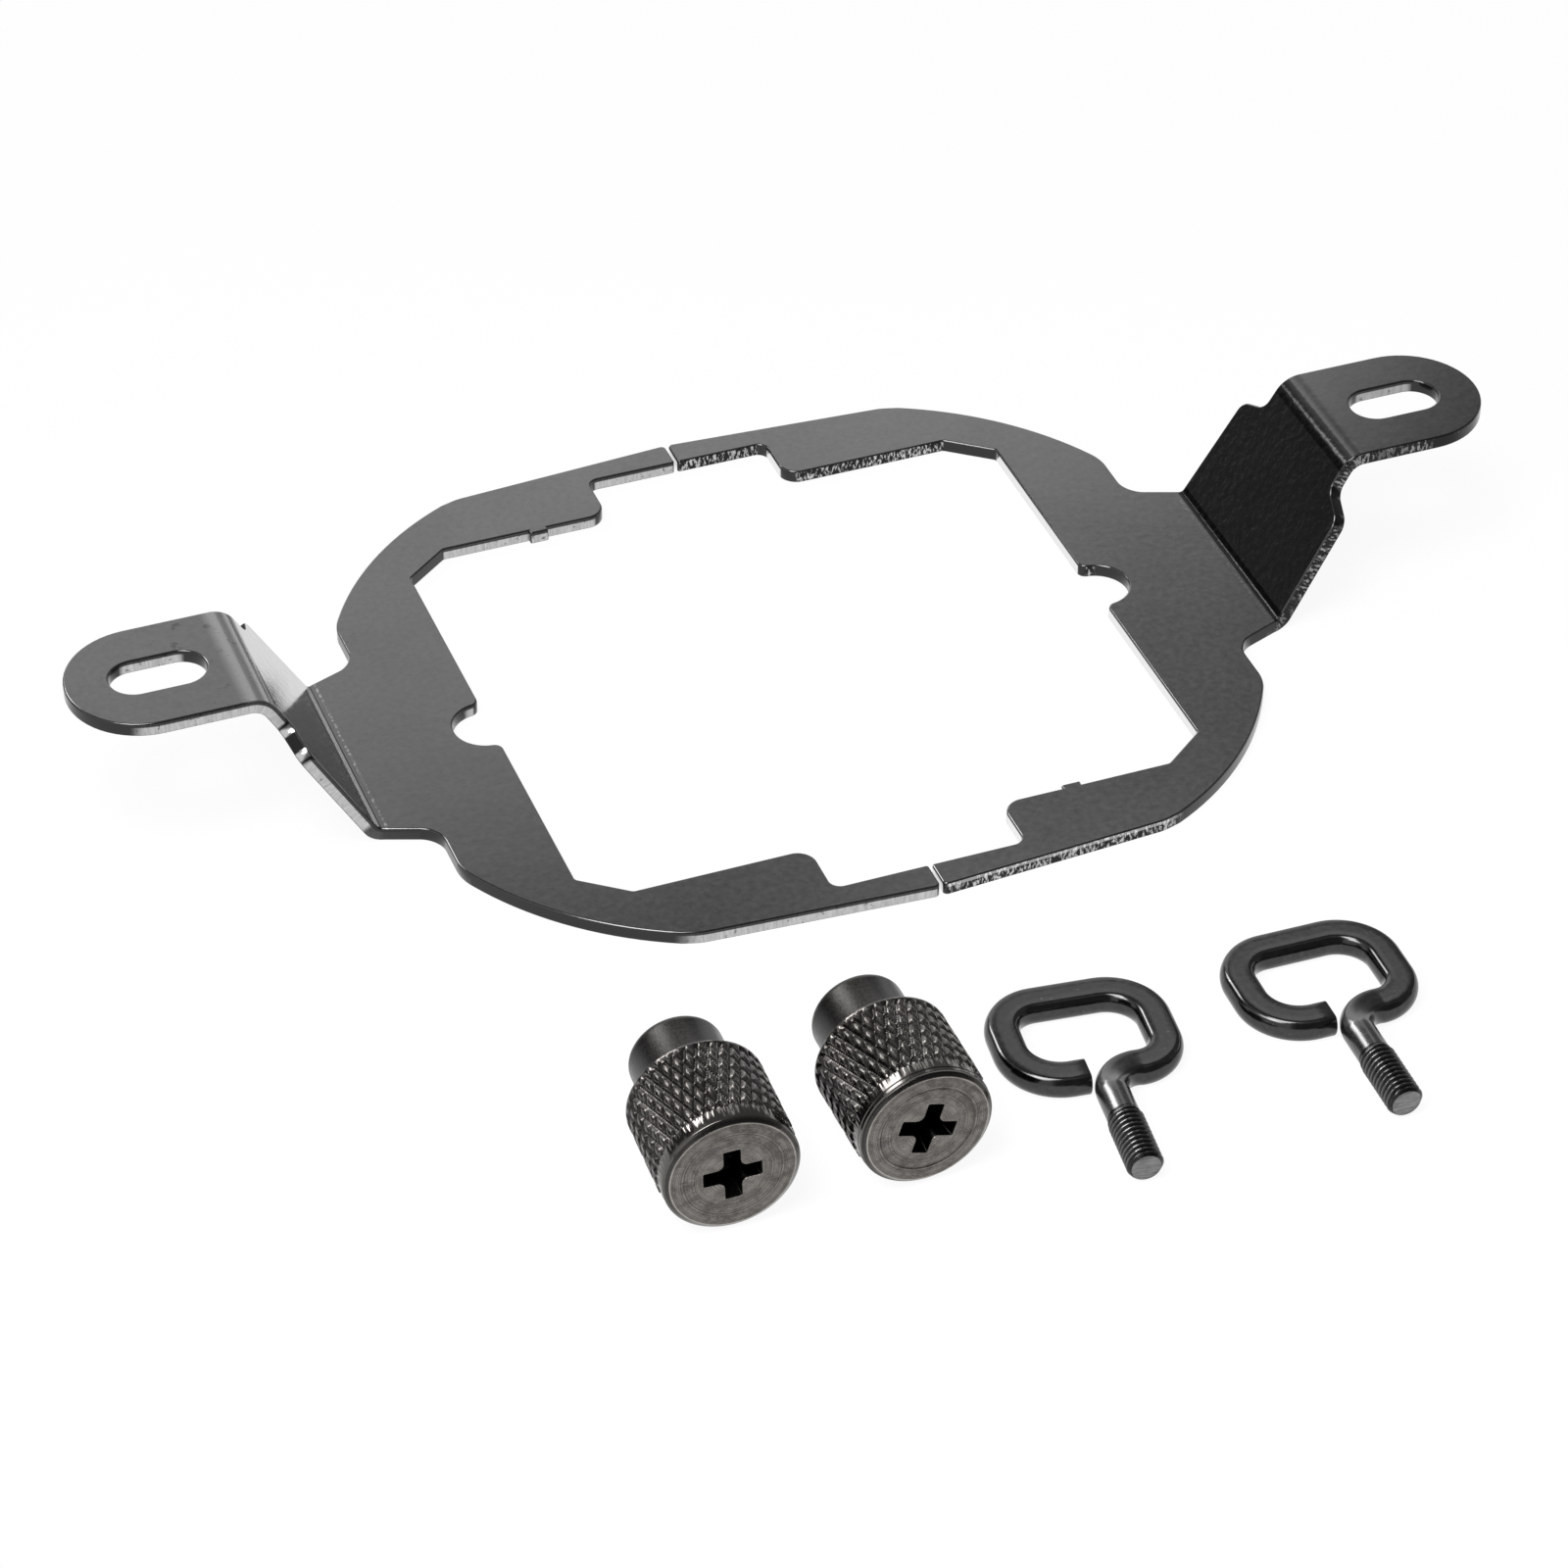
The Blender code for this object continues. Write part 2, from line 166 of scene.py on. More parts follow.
# one number where the mask is 0, another where it is 1
def between(tree, mask, bare, covered):
    return scaled(tree, mask, 0.0, 1.0, bare, covered)


# a stretch that rises over one pair of values and falls over another
def zone(tree, value, rise, fall):
    return product(tree, scaled(tree, value, *rise), scaled(tree, value, *fall))


def grain(tree, where, perUnit, detail=2.0, roughness=0.5, stretch=None, turn=None):
    if stretch:
        inputs = [("Vector", where), ("Scale", stretch)]
        if turn:
            inputs.append(("Rotation", turn))
        where = step(tree, "Mapping", inputs).outputs[0]
    inputs = (("Vector", where), ("Scale", perUnit), ("Detail", detail), ("Roughness", roughness))
    return step(tree, "TexNoise", inputs).outputs[0]


def apart(tree, vector, axes="XYZ"):
    outputs = step(tree, "SeparateXYZ", ((0, vector),)).outputs
    return [outputs[axis] for axis in axes]


def attribute(tree, name):
    return step(tree, "Attribute", attribute_name=name).outputs["Vector"]


def fromAxis(tree, x, y):
    squares = maths(tree, "ADD", product(tree, x, x), product(tree, y, y))
    return maths(tree, "SQRT", squares)


def inTint(tree, value, tint):
    return step(tree, "VectorMath", ((0, tint), ("Scale", value)), operation="SCALE").outputs[0]


def metal(name):
    material = bpy.data.materials.new(name)
    material.use_nodes = True
    shader = material.node_tree.nodes["Principled BSDF"]
    shader.inputs["Metallic"].default_value = 1.0
    return material, material.node_tree, shader


def feed(tree, shader, colour, rough, height, depth):
    tree.links.new(colour, shader.inputs["Base Color"])
    tree.links.new(rough, shader.inputs["Roughness"])
    bump = step(tree, "Bump", (("Height", height), ("Distance", depth), ("Strength", 1.0)))
    tree.links.new(bump.outputs[0], shader.inputs["Normal"])


def inMillimetres(tree):
    place = step(tree, "TexCoord").outputs["Object"]
    return step(tree, "VectorMath", ((0, place), ("Scale", 1000.0)), operation="SCALE").outputs[0]


# satin black coat: fine mottle, a faint orange peel, the die's lines at the bends,
# a painted sheen on the left ear's bend and the left web, painted shade in the right half's creases and
# towards both ends; levels are shares of white, lengths are mm
coat = {
    "base": 0.052, "mottle": 0.024, "cloud": 0.006, "pits": -0.03, "scuff": 0.03,
    "dieLines": ((-0.3, 0.17, 0.2), (0.35, 0.15, 0.16)),   # offset from its bend, half width, level
    "rub": 0.17, "chips": -0.05, "leftWebSheen": 0.03, "farLeftShade": 0.87, "rightEndShade": 0.7,
    "crease": 0.3, "earCreaseShade": 0.75, "gloss": 0.8, "creaseGloss": 0.1, "glossRough": 0.1,
    "leather": 8.0, "pitDepth": -0.4, "bump": 5e-6,
    "rough": 0.11, "mottleRough": 0.06, "rubRough": 0.2,
}


def coatedSheet(c):
    material, tree, shader = metal("satin black coat")
    shader.inputs["Coat Roughness"].default_value = c["glossRough"]
    here = inMillimetres(tree)
    x = apart(tree, here, "X")[0]
    u, depth = apart(tree, attribute(tree, "flatSheet"), "XZ")
    mottle = scaled(tree, grain(tree, here, 1.6, 4.0, 0.6), 0.3, 0.7, smooth=False)
    cloud = scaled(tree, grain(tree, here, 0.16, 2.0), 0.35, 0.65)
    pits = grain(tree, here, 2.6, 2.0, 0.6, (1.0, 2.2, 1.0), (0.0, 0.0, 0.4))
    pits = scaled(tree, pits, 0.64, 0.72)
    fine = scaled(tree, grain(tree, here, 2.3, 3.0, 0.7), 0.5, 0.6)
    scuff = grain(tree, here, 1.0, 3.0, 0.6, (0.25, 2.6, 1.0), (0.0, 0.0, 0.7))
    scuff = scaled(tree, scuff, 0.7, 0.78)
    base = layered(tree, c["base"], c, mottle=mottle, cloud=cloud, pits=pits, scuff=scuff)

    upper = scaled(tree, depth, 0.5, 0.3)
    leftSide = scaled(tree, x, -30.0, -35.0)
    for bend, (offset, width, level) in zip((foldStart, webStart), c["dieLines"]):
        away = maths(tree, "ABSOLUTE", maths(tree, "SUBTRACT", u, bend + offset))
        line = product(tree, scaled(tree, away, width, 0.04), scaled(tree, fine, 0.1, 0.7, 0.1, 1.0),
                       between(tree, leftSide, 0.35, 1.0), upper)
        base = added(tree, base, line, level)
    # painted sheen: the left half's ear bend is lightened in flecks on its top side
    earBend = zone(tree, u, (earFoldStart - 0.3, earFoldStart + 0.5), (earStart + 0.9, earStart - 0.3))
    flecks = scaled(tree, grain(tree, here, 1.6, 3.0, 0.65), 0.7, 0.6)
    rub = product(tree, earBend, upper, leftSide, flecks)
    base = added(tree, base, rub, c["rub"])

    # painted shade: the right half's creases are darkened, and their coat is dulled
    crease = zone(tree, u, (foldStart - 0.1, foldStart + 0.1), (webStart + 0.5, webStart + 0.2))
    earCreaseShade = zone(tree, u, (earFoldStart - 0.2, earFoldStart), (earFoldStart + 1.3, earFoldStart + 0.7))
    crease = added(tree, crease, earCreaseShade, c["earCreaseShade"])
    crease = product(tree, crease, upper, scaled(tree, x, 30.0, 35.0))
    base = product(tree, base, between(tree, crease, 1.0, c["crease"]))
    tree.links.new(between(tree, crease, c["gloss"], c["creaseGloss"]), shader.inputs["Coat Weight"])

    # the handled ear has black chips beside its slot
    chips = scaled(tree, grain(tree, here, 0.75, 3.0, 0.6), 0.62, 0.68)
    beside = zone(tree, u, (earStart - 1.0, earStart + 0.6), (earStart + 7.0, earStart + 3.0))
    base = added(tree, base, product(tree, chips, beside, leftSide), c["chips"])

    leather = zone(tree, u, (foldStart, webStart), (earStart, earFoldStart))
    # painted sheen: the left web is a little lighter
    base = added(tree, base, product(tree, leather, leftSide), c["leftWebSheen"])
    # painted shade: darker towards the far left and towards the right end
    base = product(tree, base, scaled(tree, x, -8.0, -40.0, 1.0, c["farLeftShade"]),
                   scaled(tree, x, 42.0, 56.0, 1.0, c["rightEndShade"]))
    height = product(tree, grain(tree, here, 1.3, 3.0, 0.5), between(tree, leather, 1.0, c["leather"]))
    height = added(tree, height, pits, c["pitDepth"])
    rough = layered(tree, c["rough"], c, mottleRough=mottle, rubRough=rub)
    feed(tree, shader, base, rough, height, c["bump"])
    return material


# cut edges: the straight shear is bright on one side of the strip and torn and speckled on the other;
# painted shade darkens the bright shear under its top edge
cutEdge = {
    "dark": 0.045, "torn": -0.02, "specks": -0.3, "lip": 0.12, "slotWall": 0.7, "neck": 0.1,
    "fleck": 0.27, "frontFleck": 0.55, "frontPatches": 0.8, "frontLine": 0.3, "windowSide": 0.75,
    "waist": 0.6, "rough": 0.16, "brightRough": 0.16, "fleckDepth": 4.0, "bump": 5e-6,
    "slotReach": 2.6, "neckFrom": 35.5, "neckOut": 8.0,   # mm along and across the flat sheet
    "waistFrom": 8.6, "waistTo": 13.2,                    # mm up the web
}


def shearedSheet(e):
    material, tree, shader = metal("sheared sheet edge")
    here = inMillimetres(tree)
    place = attribute(tree, "flatSheet")
    u, v, depth = apart(tree, place)
    across, facing = apart(tree, attribute(tree, "edgeFacing"), "XY")
    out = maths(tree, "ABSOLUTE", v)
    frontRail = scaled(tree, u, 33.0, 31.0)
    drawn = grain(tree, place, 1.0, 3.0, 0.65, (5.0, 5.0, 0.7))
    patches = scaled(tree, grain(tree, place, 0.22, 2.0, 0.5), 0.4, 0.56)
    patches = maths(tree, "MAXIMUM", patches, product(tree, frontRail, e["frontPatches"]))
    dashes = scaled(tree, grain(tree, place, 1.0, 3.0, 0.65, (4.6, 4.6, 1.7)), 0.5, 0.58)
    specks = scaled(tree, grain(tree, here, 1.9, 3.0, 0.65), 0.62, 0.68)

    # the slot's walls are bright all round, and the neck's edges dark
    bright = scaled(tree, facing, 0.9, 0.985)
    torn = scaled(tree, facing, -0.9, -0.98)
    inSlot = product(tree, scaled(tree, out, e["slotReach"] + 0.3, e["slotReach"]),
                     scaled(tree, u, earStart, earStart + 0.5), torn)
    torn = maths(tree, "SUBTRACT", torn, inSlot)
    bright = added(tree, bright, inSlot, e["slotWall"])
    neck = zone(tree, u, (e["neckFrom"], e["neckFrom"] + 1.0), (webStart + 0.8, webStart))
    neck = product(tree, neck, scaled(tree, out, e["neckOut"], e["neckOut"] + 1.0))
    bright = product(tree, bright, between(tree, neck, 1.0, e["neck"]))

    shine = scaled(tree, drawn, 0.3, 0.7, 0.42, 0.58)
    shine = added(tree, shine, specks, e["specks"])
    # painted shade: the bright shear is darkened under the top edge, for a dark reflection there
    lip = scaled(tree, depth, 0.42, 0.32)
    shine = product(tree, shine, between(tree, lip, 1.0, e["lip"]))
    base = added(tree, e["dark"], bright, maths(tree, "SUBTRACT", shine, e["dark"]))
    base = added(tree, base, torn, e["torn"])
    fleck = product(tree, torn, dashes, patches)
    base = added(tree, base, fleck, between(tree, frontRail, e["fleck"], e["frontFleck"]))

    # a bright line under the front rail's lip, and the window's side edges
    line = product(tree, torn, frontRail, scaled(tree, v, -25.0, -27.0), scaled(tree, depth, 0.46, 0.36))
    base = added(tree, base, line, e["frontLine"])
    side = product(tree, scaled(tree, across, -0.95, -0.99), scaled(tree, u, 30.0, 29.0),
                   scaled(tree, depth, 0.2, 0.3))
    base = added(tree, base, side, e["windowSide"])

    # bare bright patches in the small curves of the waist
    low, high = webStart + e["waistFrom"], webStart + e["waistTo"]
    waist = zone(tree, u, (low, low + 0.6), (high, high - 0.6))
    curve = zone(tree, facing, (0.42, 0.56), (0.9, 0.82))
    base = added(tree, base, product(tree, waist, curve), e["waist"])

    rough = added(tree, e["rough"], maths(tree, "MAXIMUM", bright, fleck), e["brightRough"])
    height = added(tree, drawn, fleck, e["fleckDepth"])
    feed(tree, shader, base, rough, height, e["bump"])
    return material


# black nut: satin collar, glossy band, diamonds lighter along their edges (a little rubbed, partly painted
# glints), a painted highlight round the front rim, painted shade inside the cross
nutFinish = {
    "base": 0.046, "fine": 0.016, "wear": 0.09, "collar": -0.032, "band": 0.06, "rim": 0.16, "cross": 0.35,
    "rough": 0.16, "fineRough": 0.08, "collarRough": 0.12, "bandRough": -0.08, "bandGrain": 0.15,
    "bump": 4e-6, "tint": (1.05, 1.0, 0.95),
}


def blackNut(f, n):
    material, tree, shader = metal("black knurled steel")
    place = attribute(tree, "ownAxis")
    x, y, z = apart(tree, place)
    radius = fromAxis(tree, x, y)
    total = n["bodyLength"] + n["collarLength"]
    knurlEnd = total - n["frontBand"]
    edge = n["radius"] - n["bandDrop"] - n["frontChamfer"]
    crossEnd = n["crossSpan"] / 2
    around = product(tree, maths(tree, "ARCTAN2", y, x), n["grooves"] / math.tau)
    along = maths(tree, "SUBTRACT", z, n["collarLength"] + n["backRim"])
    first = maths(tree, "PINGPONG", added(tree, around, along, knurlLean), 0.5)
    second = maths(tree, "PINGPONG", added(tree, around, along, -knurlLean), 0.5)
    tops = product(tree, scaled(tree, radius, n["radius"] - 0.15, n["radius"] - 0.05),
                   scaled(tree, z, knurlEnd + 0.15, knurlEnd - 0.15))
    middle = product(tree, scaled(tree, first, 0.31, 0.36), scaled(tree, second, 0.28, 0.33))
    patchy = scaled(tree, grain(tree, place, 0.9, 3.0, 0.6), 0.42, 0.62)
    # the diamonds' edges are lighter: a little real wear, partly painted glints
    wear = product(tree, maths(tree, "SUBTRACT", 1.0, middle), tops, patchy)
    fine = scaled(tree, grain(tree, place, 5.0, 3.0, 0.65), 0.3, 0.7)
    collar = scaled(tree, radius, n["collarRadius"] + 0.21, n["collarRadius"] + 0.06)
    band = product(tree, scaled(tree, z, knurlEnd - 0.05, knurlEnd + 0.15),
                   scaled(tree, radius, n["radius"] - 0.35, n["radius"] - 0.25))
    # painted highlight: a lighter line round the front rim
    rim = product(tree, scaled(tree, z, total - 0.07, total - 0.03),
                  scaled(tree, radius, edge - 0.11, edge - 0.03))
    base = layered(tree, f["base"], f, fine=fine, wear=wear, collar=collar, band=band, rim=rim)
    # painted shade: darker inside the cross
    base = product(tree, base, scaled(tree, radius, crossEnd + 0.125, crossEnd + 0.425, f["cross"], 1.0))
    rough = layered(tree, f["rough"], f, fineRough=fine, collarRough=collar, bandRough=band)
    turned = grain(tree, place, 1.0, 2.0, 0.6, (0.5, 0.5, 9.0))
    height = product(tree, maths(tree, "ADD", turned, fine), between(tree, band, 1.0, f["bandGrain"]))
    feed(tree, shader, inTint(tree, base, f["tint"]), rough, height, f["bump"])
    return material


# turned nut face: warm grey, ringed by the tool, scratched, paler round the cross, with a painted highlight
# at its rim
faceFinish = {
    "base": 0.055, "rings": 0.13, "ringsPerMm": 6.0, "wobble": 0.12, "patches": 0.035, "fine": 0.035,
    "scratch": 0.06, "roundCross": 0.03, "rim": 0.16, "rough": 0.3, "patchRough": 0.12,
    "scratchDepth": -0.6, "bump": 8e-6, "tint": (1.07, 1.0, 0.93),
}


def turnedFace(f, n):
    material, tree, shader = metal("turned nut face")
    place = attribute(tree, "ownAxis")
    radius = fromAxis(tree, *apart(tree, place, "XY"))
    edge = n["radius"] - n["bandDrop"] - n["frontChamfer"]
    wobble = added(tree, radius, grain(tree, place, 0.7, 1.0), f["wobble"])
    inputs = (("W", product(tree, wobble, f["ringsPerMm"])), ("Scale", 1.4), ("Detail", 3.0),
              ("Roughness", 0.65))
    rings = step(tree, "TexNoise", inputs, noise_dimensions="1D").outputs[0]
    rings = scaled(tree, rings, 0.36, 0.64)
    patches = scaled(tree, grain(tree, place, 1.1, 4.0, 0.65), 0.35, 0.65)
    scratch = grain(tree, place, 1.0, 2.0, 0.6, (0.6, 7.0, 1.0), (0.0, 0.0, 0.4))
    scratch = scaled(tree, scratch, 0.6, 0.68)
    fine = scaled(tree, grain(tree, place, 6.0, 2.0, 0.7), 0.3, 0.7)
    broken = product(tree, rings, between(tree, patches, 0.3, 1.0))
    # the rim term is a painted highlight round the face's edge
    base = layered(tree, f["base"], f, rings=broken, patches=patches, fine=fine, scratch=scratch,
                   roundCross=scaled(tree, radius, 3.2, 2.5),
                   rim=scaled(tree, radius, edge - 0.08, edge - 0.03))
    rough = added(tree, f["rough"], patches, f["patchRough"])
    height = added(tree, maths(tree, "ADD", rings, fine), scratch, f["scratchDepth"])
    feed(tree, shader, inTint(tree, base, f["tint"]), rough, height, f["bump"])
    return material


# glossy black bar: faint drawing marks, crests of the thread rubbed bright
barFinish = {
    "base": 0.053, "mottle": 0.018, "specks": 0.05, "threaded": -0.028, "shank": 0.07, "crest": 0.1,
    "rough": 0.12, "mottleRough": 0.06, "threadRough": 0.1, "bump": 5e-6,
}


def blackBar(f, h):
    material, tree, shader = metal("glossy black bar")
    here = inMillimetres(tree)
    radius, threaded = apart(tree, attribute(tree, "ownAxis"), "YZ")
    mottle = scaled(tree, grain(tree, here, 2.2, 3.0, 0.6), 0.3, 0.7, smooth=False)
    specks = scaled(tree, grain(tree, here, 2.8, 1.0), 0.72, 0.76)
    crest = product(tree, scaled(tree, radius, h["shankRadius"] + 0.02, h["threadRadius"] - 0.03),
                    scaled(tree, threaded, 0.6, 1.0))
    shank = zone(tree, threaded, (0.1, 0.5), (0.8, 0.55))
    base = layered(tree, f["base"], f, mottle=mottle, specks=specks, threaded=threaded,
                   shank=shank, crest=crest)
    rough = layered(tree, f["rough"], f, mottleRough=mottle,
                    threadRough=scaled(tree, threaded, 0.0, 0.5))
    feed(tree, shader, base, rough, grain(tree, here, 1.4, 3.0), f["bump"])
    return material


# cut ends of the bar: dull grey with saw marks
def sawnEnd():
    material, tree, shader = metal("sawn bar end")
    here = inMillimetres(tree)
    saw = grain(tree, here, 1.0, 2.0, 0.6, (1.0, 1.0, 9.0))
    base = scaled(tree, saw, 0.3, 0.7, 0.15, 0.26)
    feed(tree, shader, base, scaled(tree, grain(tree, here, 3.0), 0.3, 0.7, 0.35, 0.5), saw, 1e-5)
    return material


# the folded sheet half, sizes in mm and degrees
sheet = {
    "thick": 1.2, "topRoll": 0.17, "bottomRoll": 0.07, "slitGap": 0.3, "slitRound": 0.45,
    "windowHalfX": 28.0, "wideInnerY": 25.4, "thinInnerY": 30.8, "slitOuterY": 33.65,
    "outerSlope": 0.064, "chamferX": 24.0, "chamferY": 22.3, "chamferRound": 0.5,
    "tabX": 8.55, "tabRound": 1.7, "tabFillet": 1.0,
    "nubX": 15.1, "nubWidth": 1.7, "nubHeight": 0.45, "nubRound": 0.15,
    "notchCentreX": 28.3, "notchRadius": 2.9, "notchLip": 0.8,
    "cornerCentre": (9.1, 4.5), "cornerRadius": 30.3, "cornerArc": (66.6, 26.2), "cornerLead": 67.8,
    "cornerBlend": 4.0, "shoulderX": 36.4,
    "neckStartY": 12.15, "neckRound": 2.4, "neckEndY": 10.35, "neckEndRound": 2.5,
    "foldX": 41.1, "foldAngle": 59.6, "foldInside": 0.6, "earRise": 13.04, "earFoldInside": 1.4,
    "foldSteps": 12, "earFoldSteps": 16,
    "humpHalf": 9.75, "humpAlong": 10.0, "humpRound": 1.4, "waistHalf": 6.75, "waistAlong": 11.3,
    "waistRound": 1.3, "earHalf": 6.6, "earEndX": 64.1,
    "slotCentreX": 56.28, "slotHalfLength": 4.12, "slotHalfWidth": 2.25,
}

# where the strip bends, measured along the flat sheet
foldTurn = math.radians(sheet["foldAngle"])
foldReach = sheet["foldInside"] * math.tan(foldTurn / 2)
earFoldOutside = sheet["earFoldInside"] + sheet["thick"]
earFoldReach = earFoldOutside * math.tan(foldTurn / 2)
foldStart = sheet["foldX"] - foldReach
foldLength = (sheet["foldInside"] + sheet["thick"] / 2) * foldTurn
webStart = foldStart + foldLength
earFoldStart = webStart + sheet["earRise"] / math.sin(foldTurn) - foldReach - earFoldReach
earFoldLength = (sheet["earFoldInside"] + sheet["thick"] / 2) * foldTurn
earStart = earFoldStart + earFoldLength
earShift = earStart - (sheet["foldX"] + sheet["earRise"] / math.tan(foldTurn) + earFoldReach)


sheetFace = coatedSheet(coat)
sheetEdge = shearedSheet(cutEdge)


# corners are (x, y, radius); each rounded one is bevelled as a vertex of the flat face
def roundedFace(bm, corners, stepAngle=6.0):
    verts = [bm.verts.new((x * mm, y * mm, 0.0)) for x, y, radius in corners]
    bm.faces.new(verts)
    rounded = []
    for i, (vert, (x, y, radius)) in enumerate(zip(verts, corners)):
        if radius <= 0:
            continue
        before = (Vector(corners[i - 1][:2]) - Vector((x, y))).normalized()
        after = (Vector(corners[(i + 1) % len(corners)][:2]) - Vector((x, y))).normalized()
        opening = before.angle(after)
        steps = max(2, math.ceil((180.0 - math.degrees(opening)) / stepAngle))
        rounded.append((vert, radius / math.tan(opening / 2), steps))
    for vert, reach, steps in rounded:
        bmesh.ops.bevel(bm, geom=[vert], offset=reach * mm, offset_type="OFFSET", segments=steps,
                        profile=0.5, affect="VERTICES", clamp_overlap=False, material=-1)


def sheetCorners(s):
    slitX = s["slitGap"] / 2
    lift = s["slitOuterY"]
    cx, cy = s["cornerCentre"]
    big = s["cornerRadius"]
    reachX = cx + big * math.cos(math.radians(s["cornerLead"]))
    joinY = cy + math.sqrt(big ** 2 - (s["shoulderX"] - cx) ** 2)
    outer = [(slitX, lift, s["slitRound"])]
    outer.append((reachX, lift - s["outerSlope"] * reachX, s["cornerBlend"]))
    outer += [(x, y, 0.0) for x, y in arcPoints(cx, cy, big, *s["cornerArc"], 2.2)[1:-1]]
    outer.append((s["shoulderX"], joinY, s["cornerBlend"]))
    outer.append((s["shoulderX"], s["neckStartY"], s["neckRound"]))
    outer.append((s["foldX"] + 0.1, s["neckEndY"], s["neckEndRound"]))
    outer.append((webStart + s["humpAlong"], s["humpHalf"], s["humpRound"]))
    outer.append((webStart + s["waistAlong"], s["waistHalf"], s["waistRound"]))
    outer.append((earStart, s["earHalf"], 0.0))
    outer.append((s["earEndX"] + earShift, s["earHalf"], s["earHalf"] * 0.999))
    below = [(x, -y, radius) for x, y, radius in reversed(outer)]

    inner = [(slitX, -s["thinInnerY"], s["slitRound"] * 0.6)]
    inner.append((s["tabX"], -s["thinInnerY"], s["tabFillet"]))
    inner.append((s["tabX"], -s["wideInnerY"], s["tabRound"]))
    for dx, dy in ((-0.5, 0.0), (-0.5, 1.0), (0.5, 1.0), (0.5, 0.0)):
        x = s["nubX"] + dx * s["nubWidth"]
        inner.append((x, dy * s["nubHeight"] - s["wideInnerY"], s["nubRound"] * dy))
    inner.append((s["chamferX"], -s["wideInnerY"], s["chamferRound"]))
    inner.append((s["windowHalfX"], -s["chamferY"], s["chamferRound"]))
    lipX = s["windowHalfX"] + s["notchLip"]
    lipY = math.sqrt((s["notchRadius"] + s["notchLip"]) ** 2 - (lipX - s["notchCentreX"]) ** 2)
    lean = math.degrees(math.atan2(lipY, lipX - s["notchCentreX"]))
    lip = arcPoints(lipX, -lipY, s["notchLip"], 180.0, 180.0 - lean, 8.0)
    bowl = arcPoints(s["notchCentreX"], 0.0, s["notchRadius"], -lean, lean, 6.0)
    around = lip + bowl[1:-1] + [(x, -y) for x, y in reversed(lip)]
    inner += [(x, y, 0.0) for x, y in around]
    inner.append((s["windowHalfX"], s["chamferY"], s["chamferRound"]))
    inner.append((s["chamferX"], s["wideInnerY"], s["chamferRound"]))
    inner.append((s["tabX"], s["wideInnerY"], s["tabRound"]))
    inner.append((s["tabX"], s["thinInnerY"], s["tabFillet"]))
    inner.append((slitX, s["thinInnerY"], s["slitRound"] * 0.6))
    return outer + below + inner


def slotCorners(s):
    centre = s["slotCentreX"] + earShift
    signs = ((1, 1), (1, -1), (-1, -1), (-1, 1))
    return [(centre + sx * s["slotHalfLength"], sy * s["slotHalfWidth"], s["slotHalfWidth"] * 0.999)
            for sx, sy in signs]


# top-face place and slope at a distance along the flat strip
def foldedStation(u, s):
    if u <= foldStart:
        return u, 0.0, 0.0
    turn = min(1.0, (u - foldStart) / foldLength) * foldTurn
    x = foldStart + s["foldInside"] * math.sin(turn)
    z = s["foldInside"] * (1 - math.cos(turn))
    if u <= webStart:
        return x, z, turn
    along = min(u, earFoldStart) - webStart
    x += along * math.cos(foldTurn)
    z += along * math.sin(foldTurn)
    if u <= earFoldStart:
        return x, z, foldTurn
    turn = foldTurn * (1 - min(1.0, (u - earFoldStart) / earFoldLength))
    x += earFoldOutside * (math.sin(foldTurn) - math.sin(turn))
    z += earFoldOutside * (math.cos(turn) - math.cos(foldTurn))
    return x + max(0.0, u - earStart), z, turn


def rimEdges(bm, height):
    found = []
    for edge in bm.edges:
        if all(abs(v.co.z - height) < 1e-7 for v in edge.verts) and len(edge.link_faces) == 2:
            if any(abs(f.normal.z) < 0.5 for f in edge.link_faces):
                found.append(edge)
    return found


